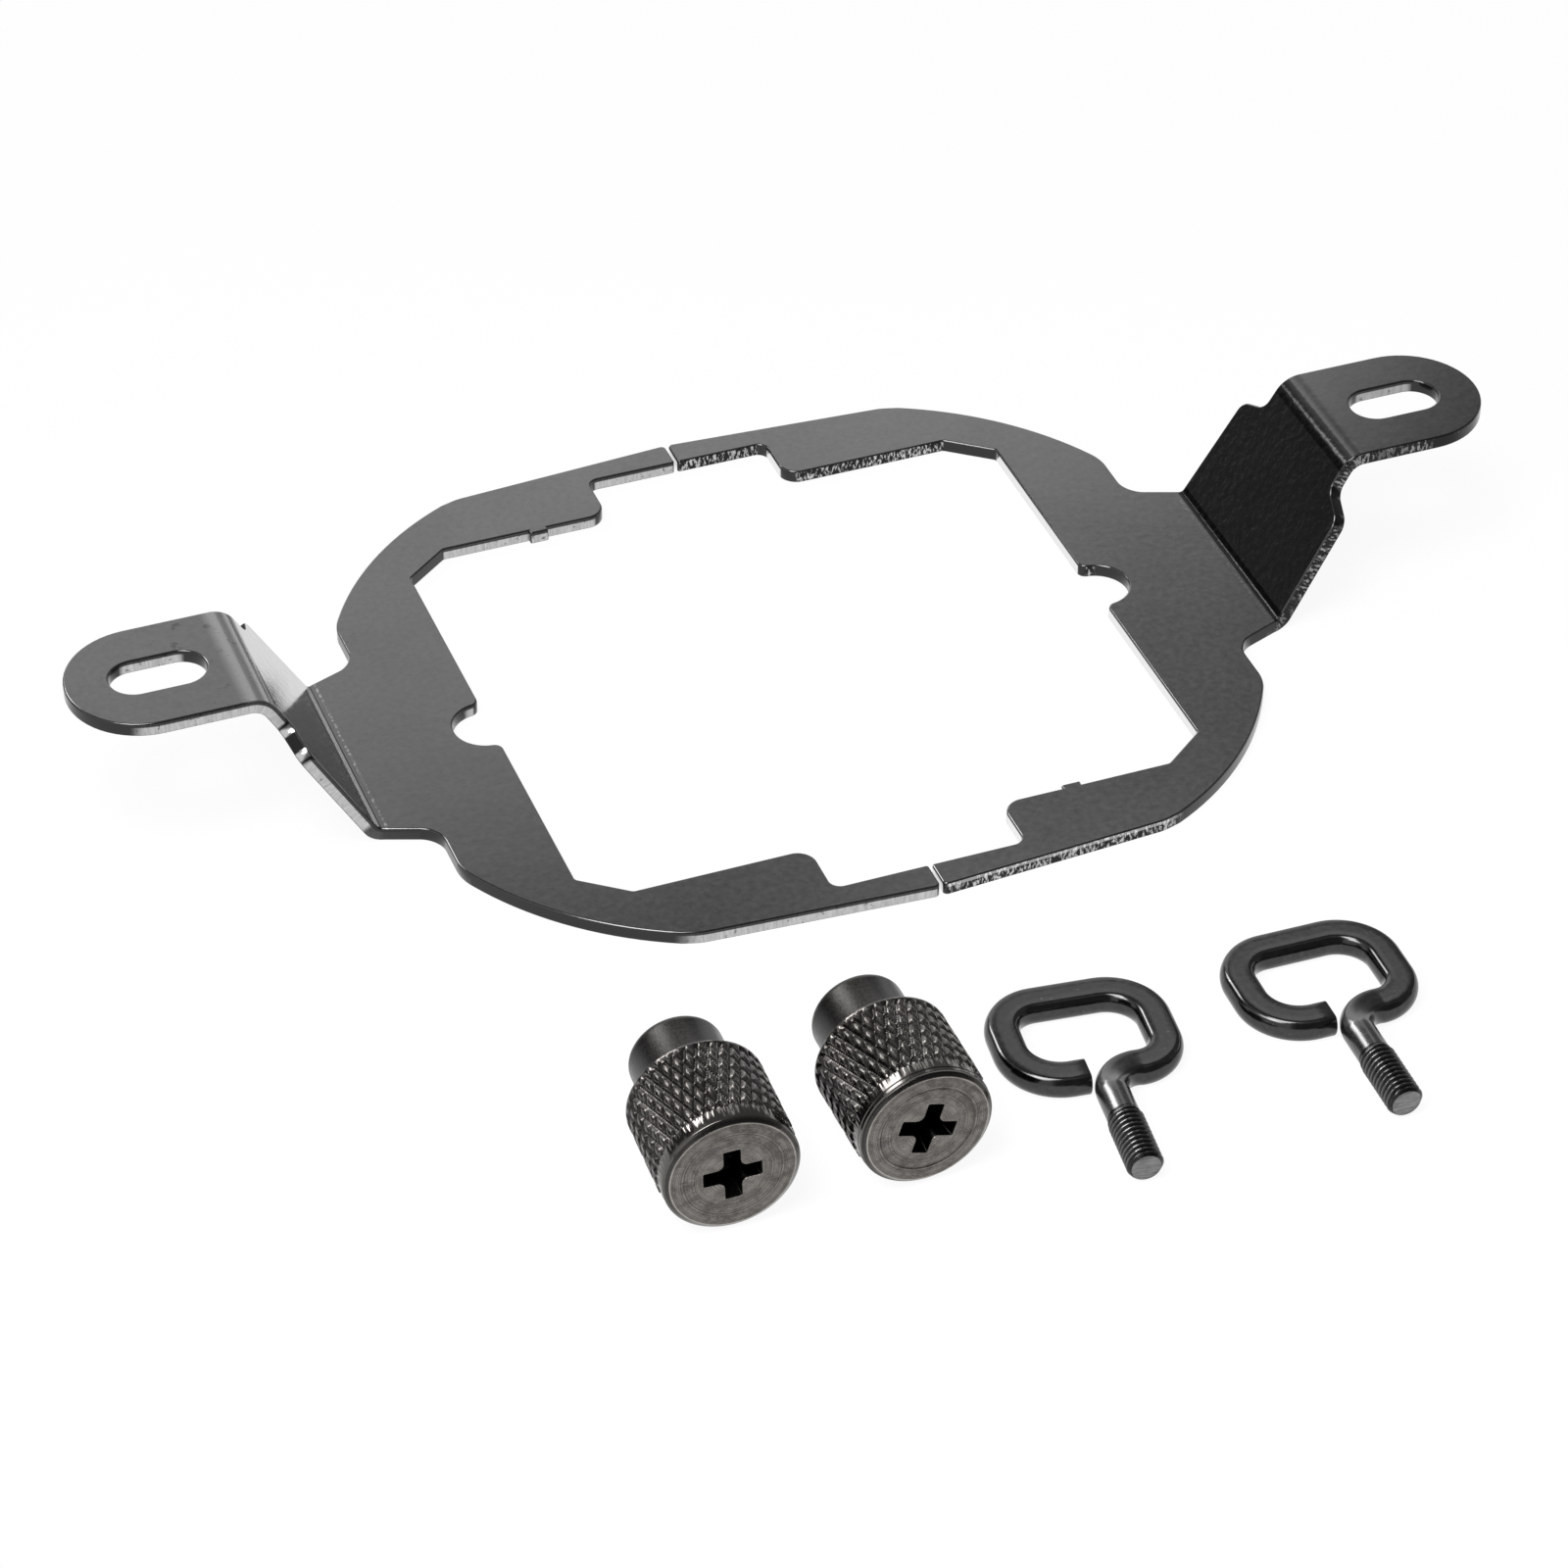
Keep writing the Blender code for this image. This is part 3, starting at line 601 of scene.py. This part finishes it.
def sheetHalf(name, turned, s):
    bm = bmesh.new()
    roundedFace(bm, sheetCorners(s))
    hole = bmesh.new()
    roundedFace(hole, slotCorners(s), 8.0)
    slot = bpy.data.meshes.new("slot")
    hole.to_mesh(slot)
    hole.free()
    bm.from_mesh(slot)
    bpy.data.meshes.remove(slot)
    bmesh.ops.delete(bm, geom=bm.faces[:], context="FACES_ONLY")
    bmesh.ops.triangle_fill(bm, use_beauty=True, use_dissolve=False, edges=bm.edges[:],
                            normal=(0, 0, 1))
    bmesh.ops.dissolve_limit(bm, angle_limit=0.0005, verts=bm.verts[:], edges=bm.edges[:])
    grown = bmesh.ops.extrude_face_region(bm, geom=bm.faces[:])["geom"]
    bmesh.ops.translate(bm, verts=[g for g in grown if isinstance(g, bmesh.types.BMVert)],
                        vec=(0, 0, s["thick"] * mm))
    bmesh.ops.recalc_face_normals(bm, faces=bm.faces[:])
    for height, roll, segments in ((s["thick"], s["topRoll"], 4), (0.0, s["bottomRoll"], 2)):
        bmesh.ops.bevel(bm, geom=rimEdges(bm, height * mm), offset=roll * mm, offset_type="OFFSET",
                        segments=segments, profile=0.5, affect="EDGES", clamp_overlap=False,
                        material=-1)
        bm.normal_update()
    for face in bm.faces:
        face.material_index = 1 if abs(face.normal.z) < 0.2 else 0   # the cut walls

    stations = []
    for first, length, steps in ((foldStart, foldLength, s["foldSteps"]),
                                 (earFoldStart, earFoldLength, s["earFoldSteps"])):
        stations += [first + length * i / steps for i in range(steps + 1)]
    for u in stations:
        bmesh.ops.bisect_plane(bm, geom=bm.verts[:] + bm.edges[:] + bm.faces[:], dist=1e-8,
                               plane_co=(u * mm, 0, 0), plane_no=(1, 0, 0))

    bm.normal_update()
    # which way each cut edge faces on the flat sheet, and the flat sheet's own x, y and depth in mm
    facing = bm.loops.layers.float_vector.new("edgeFacing")
    flat = bm.verts.layers.float_vector.new("flatSheet")
    cutFaces = [face for face in bm.faces if face.material_index == 1]
    for face in cutFaces:
        for loop in face.loops:
            near = [f.normal for f in loop.vert.link_faces
                    if f.material_index == 1 and f.normal.dot(face.normal) > 0.8]
            loop[facing] = sum(near, Vector()).normalized()
    for vert in bm.verts:
        u, v, height = vert.co / mm
        vert[flat] = (u, v, s["thick"] - height)
        x, z, slope = foldedStation(u, s)
        below = s["thick"] - height
        vert.co.x = (x + below * math.sin(slope)) * mm
        vert.co.z = (z + s["thick"] - below * math.cos(slope)) * mm
    if turned:
        bmesh.ops.rotate(bm, verts=bm.verts, cent=(0, 0, 0),
                         matrix=Matrix.Rotation(math.pi, 3, "Z"))
    bmesh.ops.translate(bm, verts=bm.verts, vec=windowMiddle)
    piece = finishMesh(name, bm, [sheetFace, sheetEdge], 40.0)
    weighNormals(piece)
    return piece


leftHalf = sheetHalf("sheetHalfLeft", True, sheet)
rightHalf = sheetHalf("sheetHalfRight", False, sheet)
standIn(leftHalf, "bracket_left")
standIn(rightHalf, "bracket_right")
print("sheet halves folded")


# thumb nuts, sizes in mm; each lies on its knurl with its face to the front
nut = {
    "radius": 5.65, "knurlDepth": 0.3, "grooves": 36, "helix": 20.0, "perGroove": 10,
    "secondDepth": 0.8, "slopes": (1.65, 1.9), "bodyLength": 9.4, "backRim": 0.38, "backChamfer": 0.2,
    "frontBand": 1.75, "runIn": 0.2, "runOut": 0.22, "bandDrop": 0.14, "dropLead": 0.06, "dropLength": 0.14,
    "frontChamfer": 0.48, "chamferLength": 0.32,
    "collarRadius": 3.89, "collarLength": 5.6, "collarRound": 1.0, "boreRadius": 1.3, "boreDepth": 10.0,
    "crossSpan": 4.65, "crossWidth": 1.35, "crossRound": 0.55, "crossTipRound": 0.12, "crossDepth": 2.4,
    "crossTaper": 0.35, "faceRing": 3.87, "faceInner": 3.1,
    "leftPlace": (-29.87, -64.81), "leftTurn": -2.17, "leftCross": 2.0,
    "rightPlace": (-14.15, -65.26), "rightTurn": 0.86, "rightCross": -17.0,
}
# groove crossings per mm along the nut; the mesh's rows fall on them, so every diamond is cut alike
knurlLean = nut["grooves"] * math.tan(math.radians(nut["helix"])) / (math.tau * nut["radius"])
nutBlack = blackNut(nutFinish, nut)
nutFace = turnedFace(faceFinish, nut)


def ridge(t):
    return 1.0 - abs((t % 1.0) * 2.0 - 1.0)   # 0 in a groove, 1 midway between two


def nutProfile(stepped, n):
    total = n["bodyLength"] + n["collarLength"]
    collar = n["collarLength"]
    band = n["radius"] - n["bandDrop"]
    low = n["collarRadius"] - n["collarRound"]
    profile = [(0.0, n["boreDepth"]), (n["boreRadius"], n["boreDepth"] - 0.8), (n["boreRadius"], 0.3),
               (n["boreRadius"] + 0.25, 0.03), (n["boreRadius"] + 0.3, 0.0), (low, 0.0)]
    for a in range(10, 91, 10):
        profile.append((low + n["collarRound"] * math.sin(math.radians(a)),
                        n["collarRound"] * (1 - math.cos(math.radians(a)))))
    profile += [(n["collarRadius"], collar - 0.1), (n["collarRadius"] + 0.03, collar - 0.03),
                (n["collarRadius"] + 0.1, collar)]
    chamfer = n["backChamfer"]
    profile += [(n["radius"] - chamfer - 0.04, collar), (n["radius"] - chamfer, collar + 0.02),
                (n["radius"] - 0.03, collar + chamfer - 0.03), (n["radius"] - 0.01, collar + chamfer)]
    first = collar + n["backRim"]
    last = total - n["frontBand"] + n["runOut"]
    spacing = 0.5 / n["perGroove"] / knurlLean
    rows = int((last - first) / spacing) + 1
    profile += [(n["radius"], first + spacing * row) for row in range(rows)]
    front = total - n["chamferLength"]
    if stepped:   # two fine turned steps in front of the knurl
        steps = ((0.0, -0.42), (0.02, -0.4), (0.08, -0.37), (0.08, -0.34), (0.04, -0.3),
                 (0.04, -0.05), (0.07, -0.02), (0.2, 0.0), (0.22, 0.03), (0.22, 0.1))
        profile += [(band - drop, front + ahead) for drop, ahead in steps]
    else:
        profile += [(band, front - 0.05), (band - 0.02, front - 0.01), (band - 0.05, front + 0.02)]
    edge = band - n["frontChamfer"]
    profile += [(edge + 0.05, total - 0.04), (edge + 0.02, total - 0.012), (edge - 0.03, total)]
    if stepped:
        ring = n["faceRing"]
        profile += [(ring + 0.09, total), (ring + 0.06, total - 0.03), (ring, total - 0.05),
                    (ring - 0.05, total - 0.03), (ring - 0.08, total)]
    profile.append((n["faceInner"], total))
    return profile


def crossCorners(n):
    tip, half = n["crossSpan"] / 2, n["crossWidth"] / 2
    corners = []
    for c, s in ((1, 0), (0, 1), (-1, 0), (0, -1)):
        for x, y, radius in ((tip, -half, n["crossTipRound"]), (tip, half, n["crossTipRound"]),
                             (half, half, n["crossRound"])):
            corners.append((x * c - y * s, x * s + y * c, radius))
    return corners


def thumbNut(name, place, turn, crossTurn, stepped, n):
    total = n["bodyLength"] + n["collarLength"]
    bm = bmesh.new()
    line = [bm.verts.new((r * mm, 0, z * mm)) for r, z in nutProfile(stepped, n)]
    edges = [bm.edges.new(pair) for pair in zip(line, line[1:])]
    bmesh.ops.spin(bm, geom=line + edges, cent=(0, 0, 0), axis=(0, 0, 1), dvec=(0, 0, 0),
                   angle=math.tau, steps=n["grooves"] * n["perGroove"], use_merge=True)
    bmesh.ops.remove_doubles(bm, verts=bm.verts[:], dist=1e-7)

    # two crossing helices of grooves, which run out into the smooth band
    knurlStart = n["collarLength"] + n["backRim"]
    knurlEnd = total - n["frontBand"]
    for vert in bm.verts:
        radius = math.hypot(vert.co.x, vert.co.y) / mm
        z = vert.co.z / mm
        if radius < n["radius"] - 0.001 or z < knurlStart - 0.001:
            continue
        around = math.atan2(vert.co.y, vert.co.x) / math.tau * n["grooves"]
        lean = knurlLean * (z - knurlStart)
        first, second = (min(1.0, ridge(place) * slope)
                         for place, slope in zip((around + lean, around - lean), n["slopes"]))
        cut = max(1 - first, (1 - second) * n["secondDepth"])
        drop = n["bandDrop"] * clamped((z - knurlEnd + n["dropLead"]) / n["dropLength"])
        fade = clamped((z - knurlStart) / n["runIn"]) * clamped((knurlEnd + n["runOut"] - z) / n["runOut"])
        new = min(n["radius"] - drop, n["radius"] - n["knurlDepth"] * cut * fade - drop * 0.4)
        vert.co.x *= new / radius
        vert.co.y *= new / radius

    # the cross in the face, its arms narrowing inward; each step in is a shrink and a depth
    cross = bmesh.new()
    roundedFace(cross, crossCorners(n), 10.0)
    bmesh.ops.delete(cross, geom=cross.faces[:], context="FACES_ONLY")
    bmesh.ops.rotate(cross, verts=cross.verts, cent=(0, 0, 0),
                     matrix=Matrix.Rotation(math.radians(crossTurn), 3, "Z"))
    ring = cross.edges[:]
    bmesh.ops.translate(cross, verts=cross.verts, vec=(0, 0, total * mm))
    bmesh.ops.scale(cross, verts=cross.verts, vec=(1.03, 1.03, 1.0))
    walls = (1 - n["crossTaper"] * 0.9, n["crossDepth"] - 0.1)
    for shrink, sink in ((0.985, 0.025), (0.97, 0.06), walls, (0.8, 0.1)):
        made = bmesh.ops.extrude_edge_only(cross, edges=ring)["geom"]
        ring = [g for g in made if isinstance(g, bmesh.types.BMEdge) and g.is_boundary]
        verts = [g for g in made if isinstance(g, bmesh.types.BMVert)]
        bmesh.ops.scale(cross, verts=verts, vec=(shrink, shrink, 1.0))
        bmesh.ops.translate(cross, verts=verts, vec=(0, 0, -sink * mm))
    bmesh.ops.edgeloop_fill(cross, edges=ring)
    well = bpy.data.meshes.new("cross")
    cross.to_mesh(well)
    cross.free()
    bm.from_mesh(well)
    bpy.data.meshes.remove(well)
    rim = [e for e in bm.edges if e.is_boundary]
    bmesh.ops.triangle_fill(bm, use_beauty=True, use_dissolve=False, edges=rim, normal=(0, 0, 1))
    bmesh.ops.recalc_face_normals(bm, faces=bm.faces[:])

    own = bm.verts.layers.float_vector.new("ownAxis")   # across, across and along the nut, in mm
    for vert in bm.verts:
        vert[own] = vert.co / mm
    for face in bm.faces:
        middle = face.calc_center_median() / mm
        if middle.z > total - 0.055 and face.normal.z > 0.3 and middle.xy.length < 5.06:
            face.material_index = 1   # the turned face

    put = Matrix.Translation(windowMiddle + Vector((*place, n["radius"])) * mm)
    put = put @ Matrix.Rotation(math.radians(turn), 4, "Z") @ Matrix.Rotation(math.pi / 2, 4, "X")
    bmesh.ops.transform(bm, matrix=put @ Matrix.Translation((0, 0, -total * mm)), verts=bm.verts)
    piece = finishMesh(name, bm, [nutBlack, nutFace], 32.0)
    weighNormals(piece)
    return piece


leftNut = thumbNut("thumbNutLeft", nut["leftPlace"], nut["leftTurn"], nut["leftCross"],
                   False, nut)
rightNut = thumbNut("thumbNutRight", nut["rightPlace"], nut["rightTurn"], nut["rightCross"],
                    True, nut)
standIn(leftNut, "thumb_nut_left")
standIn(rightNut, "thumb_nut_right")
print("thumb nuts knurled")


# hook bolts, sizes in mm: a round bar pressed flat above and below, lying on the table
hook = {
    "barRadius": 1.45, "barThick": 2.07, "creaseRound": 0.22, "loopHalfX": 6.15, "loopTopY": 4.54,
    "loopBottomY": 4.64, "shortBarY": 4.59, "topLeftCorner": 3.25, "topRightCorner": 3.82,
    "lowerLeftCorner": 3.93, "lowerRightCorner": 2.7, "freeEndX": -0.95, "freeEndRound": 0.1,
    "shankX": 0.26, "neckBend": 3.05, "flatEnd": 0.97, "shankRadius": 1.34, "shankRings": (8.6, 9.4),
    "threadRadius": 1.5, "threadStartY": 10.4, "threadFade": 0.6, "crestWidth": 1.1,
    "boltEndY": 16.35, "endChamfer": 0.3, "pitch": 0.5, "threadDepth": 0.3,
    "cornerSteps": 18, "endSteps": 4, "ringPoints": 48, "rowsPerTurn": 12, "offTable": 0.013,
    "leftPlace": (3.35, -54.87), "leftTurn": -6.79, "rightPlace": (23.76, -55.16), "rightTurn": -1.24,
}
hookBlack = blackBar(barFinish, hook)
hookEnd = sawnEnd()


# a circle cut by two flats, from its right side round; the creases are eased a little
def barSection(count, radius, flatHeight, crease):
    quarter = []
    steps = count // 4
    if flatHeight >= radius - 0.004:
        for i in range(steps):
            a = math.radians((i + 0.5) * 90 / steps)
            quarter.append((radius * math.cos(a), radius * math.sin(a)))
    else:
        top = math.asin(flatHeight / radius)
        flat = radius * math.cos(top)
        side = steps - 4
        ease = min(crease, flat * 0.4)
        reach = top - ease / radius
        for i in range(side):
            a = reach * (i + 0.5) / (side - 0.5)
            quarter.append((radius * math.cos(a), radius * math.sin(a)))
        start = Vector(quarter[-1])
        end = Vector((flat - ease, flatHeight))
        crest = Vector((flat, flatHeight))
        for k in (0.33, 0.67):
            quarter.append(tuple(start * (1 - k) ** 2 + crest * 2 * k * (1 - k) + end * k ** 2))
        quarter += [tuple(end), (end.x * 0.4, flatHeight)]
    back = [(-x, y) for x, y in reversed(quarter)]
    lower = [(-x, -y) for x, y in quarter + back]
    return quarter + back + lower


def hookPath(h):
    halfX = h["loopHalfX"]
    turnStep = 90.0 / h["cornerSteps"]
    halfThick = h["barThick"] / 2
    path = []
    for k in range(h["endSteps"]):   # the cut free end, its rim slightly rounded
        a = math.radians(90 / (h["endSteps"] - 1) * k)
        back = h["freeEndRound"] * (1 - math.sin(a))
        x = h["freeEndX"] - h["freeEndRound"] * (1 - math.cos(a))
        path.append(((x, -h["loopBottomY"]), h["barRadius"] - back, halfThick - back, halfThick))

    # each corner of the loop: its size, left or right, its bar's y and the angle it starts at
    corners = (("lowerLeftCorner", -1, -h["loopBottomY"], 270), ("topLeftCorner", -1, h["loopTopY"], 180),
               ("topRightCorner", 1, h["loopTopY"], 90), ("lowerRightCorner", 1, -h["shortBarY"], 0))
    for name, side, barY, start in corners:
        radius = h[name]
        cx = side * (halfX - radius)
        cy = barY - math.copysign(radius, barY)
        for point in arcPoints(cx, cy, radius, start, start - 90, turnStep):
            path.append((point, h["barRadius"], halfThick, halfThick))
    bend = h["neckBend"]
    points = arcPoints(h["shankX"] + bend, -h["shortBarY"] - bend, bend, 90, 180, turnStep)
    wholeFlat = math.sqrt(h["barRadius"] ** 2 - halfThick ** 2)
    for i, point in enumerate(points):
        k = i / (len(points) - 1)
        radius = h["barRadius"] + (h["shankRadius"] - h["barRadius"]) * k
        flat = wholeFlat * math.sqrt(max(0.0, 1 - (k / h["flatEnd"]) ** 3))
        height = math.sqrt(radius ** 2 - flat ** 2) if flat > 0 else radius
        path.append((point, radius, height, halfThick + (h["threadRadius"] - halfThick) * k))
    return path


def hookBolt(name, place, turn, h):
    bm = bmesh.new()
    count = h["ringPoints"]
    # along the bar, the radius there, 1 on the thread
    own = bm.verts.layers.float_vector.new("ownAxis")
    rings = []

    def ringEdges(ring):
        return [bm.edges.get((ring[k], ring[(k + 1) % count])) for k in range(count)]

    def addRing(x, y, side, rise, outline, along, threaded):
        if rings:
            grown = bmesh.ops.extrude_edge_only(bm, edges=ringEdges(rings[-1]))["geom"]
            fresh = set(g for g in grown if isinstance(g, bmesh.types.BMVert))
            made = [next(e.other_vert(v) for e in v.link_edges if e.other_vert(v) in fresh)
                    for v in rings[-1]]
        else:
            made = bmesh.ops.create_circle(bm, cap_ends=True, radius=mm, segments=count)["verts"]
        rings.append(made)
        for vert, (across, up) in zip(made, outline):
            vert.co = ((x + side.x * across) * mm, (y + side.y * across) * mm, (rise + up) * mm)
            vert[own] = (along, math.hypot(across, up), threaded)

    path = hookPath(h)
    for i, ((x, y), radius, height, rise) in enumerate(path):
        before = Vector(path[max(i - 1, 0)][0])
        after = Vector(path[min(i + 1, len(path) - 1)][0])
        ahead = (after - before).normalized()
        if i < h["endSteps"]:
            ahead = Vector((-1.0, 0.0))
        side = Vector((ahead.y, -ahead.x))
        neck = max(0.0, 1.0 - (len(path) - 1 - i) / h["cornerSteps"])
        section = barSection(count, radius, height, h["creaseRound"])
        addRing(x, y, side, rise, section, i * 0.3, 0.5 * neck)

    # the shank, then the thread as one rolled groove, 60 degrees with a small crest
    side = Vector((-1.0, 0.0))
    rise = h["threadRadius"]
    startY = h["threadStartY"]
    shank = h["shankRadius"]
    for down in (*h["shankRings"], startY - 0.1):
        addRing(h["shankX"], -down, side, rise, barSection(count, shank, shank, 0.0), down, 0.5)
    rows = round((h["boltEndY"] - startY) / h["pitch"] * h["rowsPerTurn"])
    for row in range(rows + 1):
        y = -startY - (h["boltEndY"] - startY) * row / rows
        outline = []
        for k in range(count):
            a = (k + 0.5) * math.tau / count
            wave = ridge(-y / h["pitch"] + a / math.tau)
            crest = h["threadRadius"] - h["threadDepth"] * (1 - min(1.0, wave * h["crestWidth"]))
            fade = min(1.0, (-y - startY) / h["threadFade"])
            radius = shank + (crest - shank) * fade
            radius = min(radius, h["threadRadius"] - h["endChamfer"] + h["boltEndY"] + y)
            outline.append((radius * math.cos(a), radius * math.sin(a)))
        addRing(h["shankX"], y, side, rise, outline, -y, 1.0)
    bmesh.ops.edgeloop_fill(bm, edges=ringEdges(rings[-1]))

    bmesh.ops.recalc_face_normals(bm, faces=bm.faces[:])
    for face in bm.faces:
        if len(face.verts) > 4 and face.calc_center_median().y < -10 * mm:
            face.material_index = 1   # the bolt's sawn end
    put = Matrix.Translation(windowMiddle + Vector((*place, h["offTable"])) * mm)
    put = put @ Matrix.Rotation(math.radians(turn), 4, "Z")
    bmesh.ops.transform(bm, matrix=put, verts=bm.verts)
    return finishMesh(name, bm, [hookBlack, hookEnd], 50.0)


leftHook = hookBolt("hookBoltLeft", hook["leftPlace"], hook["leftTurn"], hook)
rightHook = hookBolt("hookBoltRight", hook["rightPlace"], hook["rightTurn"], hook)
standIn(leftHook, "hook_bolt_left")
standIn(rightHook, "hook_bolt_right")
print("hook bolts bent and threaded")


# white table, three softboxes and a plain surround; metal mirrors the walls of the studio
studio = {
    "floorSize": 1.6, "floorColour": (0.95, 0.95, 0.95), "floorRough": 0.8, "floorGlow": 0.92,
    # in metal the table shows painted light near the pieces and painted shade behind the window and far
    # out: its glow for glossy rays falls off there
    "litBehind": 0.035, "darkBehind": 0.065, "behind": (-0.25, 0.97),
    "litAround": 0.14, "darkAround": 0.22, "darkLevel": 0.05, "plainLevel": 0.4,
    "lamps": (
        {"name": "back softbox", "aim": (-0.022, -0.043, 0.006), "azimuth": -25.0, "height": 34.0,
         "away": 0.25, "size": (0.116, 0.098), "spread": 37.0, "watts": 0.021},
        {"name": "high softbox", "aim": (0.0, 0.0, 0.0), "azimuth": -125.0, "height": 66.0,
         "away": 1.0, "size": (0.46, 0.46), "spread": 180.0, "watts": 6.6},
        {"name": "side softbox", "aim": (0.0135, -0.036, 0.002), "azimuth": -113.0, "height": 44.0,
         "away": 0.14, "size": (0.09, 0.05), "spread": 56.0, "watts": 0.016},
    ),
    # each wall: level, then azimuth, half width, lowest, highest and softness in degrees
    "walls": (
        (0.25, 75.0, 46.0, -90.0, 90.0, 3.0),
        (0.14, 165.0, 45.0, -90.0, 60.0, 8.0),
        (0.8, -107.0, 42.0, -5.0, 40.0, 4.0),
        (0.1, -49.0, 10.0, -90.0, 40.0, 3.0),
        (0.28, -5.0, 34.0, -90.0, 90.0, 1.5),
        (0.5, -5.0, 34.0, -90.0, 42.0, 2.5),
        (0.34, 35.0, 6.0, -90.0, 60.0, 1.0),
        (1.4, 50.0, 40.0, -90.0, 11.0, 4.0),
        (1.5, 28.0, 6.0, 39.9, 62.0, 0.5),
    ),
    "skyLevel": 0.45,
    "backdrop": {"level": 1.5, "azimuth": -20.0, "slope": 45.0, "from": -13.0, "to": 29.0, "soft": 0.6},
}


def addFloor(s):
    bm = bmesh.new()
    bmesh.ops.create_grid(bm, x_segments=1, y_segments=1, size=s["floorSize"] / 2)
    material = bpy.data.materials.new("white table")
    material.use_nodes = True
    tree = material.node_tree
    shader = tree.nodes["Principled BSDF"]
    shader.inputs["Base Color"].default_value = (*s["floorColour"], 1.0)
    shader.inputs["Roughness"].default_value = s["floorRough"]
    path = step(tree, "LightPath").outputs
    here = step(tree, "TexCoord").outputs["Object"]
    x, y = apart(tree, here, "XY")
    away = step(tree, "VectorMath", ((0, here),), operation="LENGTH").outputs["Value"]
    # painted light and shade: the table's glow in metal is full near the pieces and falls to darkLevel
    # behind the window and far out
    behind = added(tree, product(tree, x, s["behind"][0]), y, s["behind"][1])
    behind = scaled(tree, behind, s["litBehind"] + windowMiddle.y, s["darkBehind"] + windowMiddle.y,
                    1.0, s["darkLevel"])
    around = scaled(tree, away, s["litAround"], s["darkAround"], 1.0, s["darkLevel"])
    lit = maths(tree, "MINIMUM", behind, around)
    level = maths(tree, "MAXIMUM", path["Is Camera Ray"], lit)
    glow = step(tree, "Emission", (("Strength", level),))
    seen = maths(tree, "MAXIMUM", path["Is Camera Ray"], path["Is Glossy Ray"])
    mix = step(tree, "MixShader", (("Fac", product(tree, seen, s["floorGlow"])),
                                   (1, shader.outputs[0]), (2, glow.outputs[0])))
    tree.links.new(mix.outputs[0], tree.nodes["Material Output"].inputs["Surface"])
    floor = finishMesh("table", bm, [material])


def addLamp(lamp):
    toward = direction(lamp["azimuth"], lamp["height"])
    data = bpy.data.lights.new(lamp["name"], "AREA")
    data.shape = "RECTANGLE"
    data.size, data.size_y = lamp["size"]
    data.energy = lamp["watts"]
    data.spread = math.radians(lamp["spread"])
    light = bpy.data.objects.new(lamp["name"], data)
    place = Vector(lamp["aim"]) + toward * lamp["away"]
    turn = toward.to_track_quat("Z", "Y").to_matrix().to_4x4()
    light.matrix_world = Matrix.Translation(place) @ turn
    light.visible_camera = False
    bpy.context.scene.collection.objects.link(light)


def addWorld(s):
    world = bpy.data.worlds.new("studio")
    bpy.context.scene.world = world
    world.use_nodes = True
    tree = world.node_tree
    x, y, z = apart(tree, step(tree, "TexCoord").outputs["Generated"])
    height = maths(tree, "DEGREES", maths(tree, "ARCSINE", z))
    azimuth = maths(tree, "DEGREES", maths(tree, "ARCTAN2", x, y))

    def paint(under, level, mask):
        return step(tree, "Mix", ((0, mask), (2, under), (3, level))).outputs[0]

    def within(value, low, high, soft):
        return zone(tree, value, (low - soft, low + soft), (high + soft, high - soft))

    level = s["skyLevel"]
    for wallLevel, middle, half, low, high, soft in s["walls"]:
        offset = maths(tree, "WRAP", maths(tree, "SUBTRACT", azimuth, middle), 180.0, -180.0)
        mask = product(tree, within(offset, -half, half, soft), within(height, low, high, soft))
        level = paint(level, wallLevel, mask)

    # a backdrop board stands square to its azimuth; its top edge falls away to both sides
    board = s["backdrop"]
    turn = math.radians(board["azimuth"])
    ahead = maths(tree, "ADD", product(tree, x, math.sin(turn)), product(tree, y, math.cos(turn)))
    rise = maths(tree, "DEGREES", maths(tree, "ARCTAN2", z, ahead))
    below = scaled(tree, rise, board["slope"] + 2.0, board["slope"] - 1.0)
    mask = product(tree, below, within(azimuth, board["from"], board["to"], board["soft"]),
                   maths(tree, "GREATER_THAN", ahead, 0.0))
    level = paint(level, board["level"], mask)

    path = step(tree, "LightPath").outputs
    level = paint(s["plainLevel"], level, path["Is Glossy Ray"])
    direct = maths(tree, "MAXIMUM", path["Is Camera Ray"], path["Is Transmission Ray"])
    level = paint(level, 1.0, direct)
    tree.links.new(level, tree.nodes["Background"].inputs["Strength"])
    tree.nodes["Background"].inputs["Color"].default_value = (1, 1, 1, 1)


addFloor(studio)
for lamp in studio["lamps"]:
    addLamp(lamp)
addWorld(studio)
bpy.context.scene.view_settings.view_transform = "Standard"
print("studio lit")
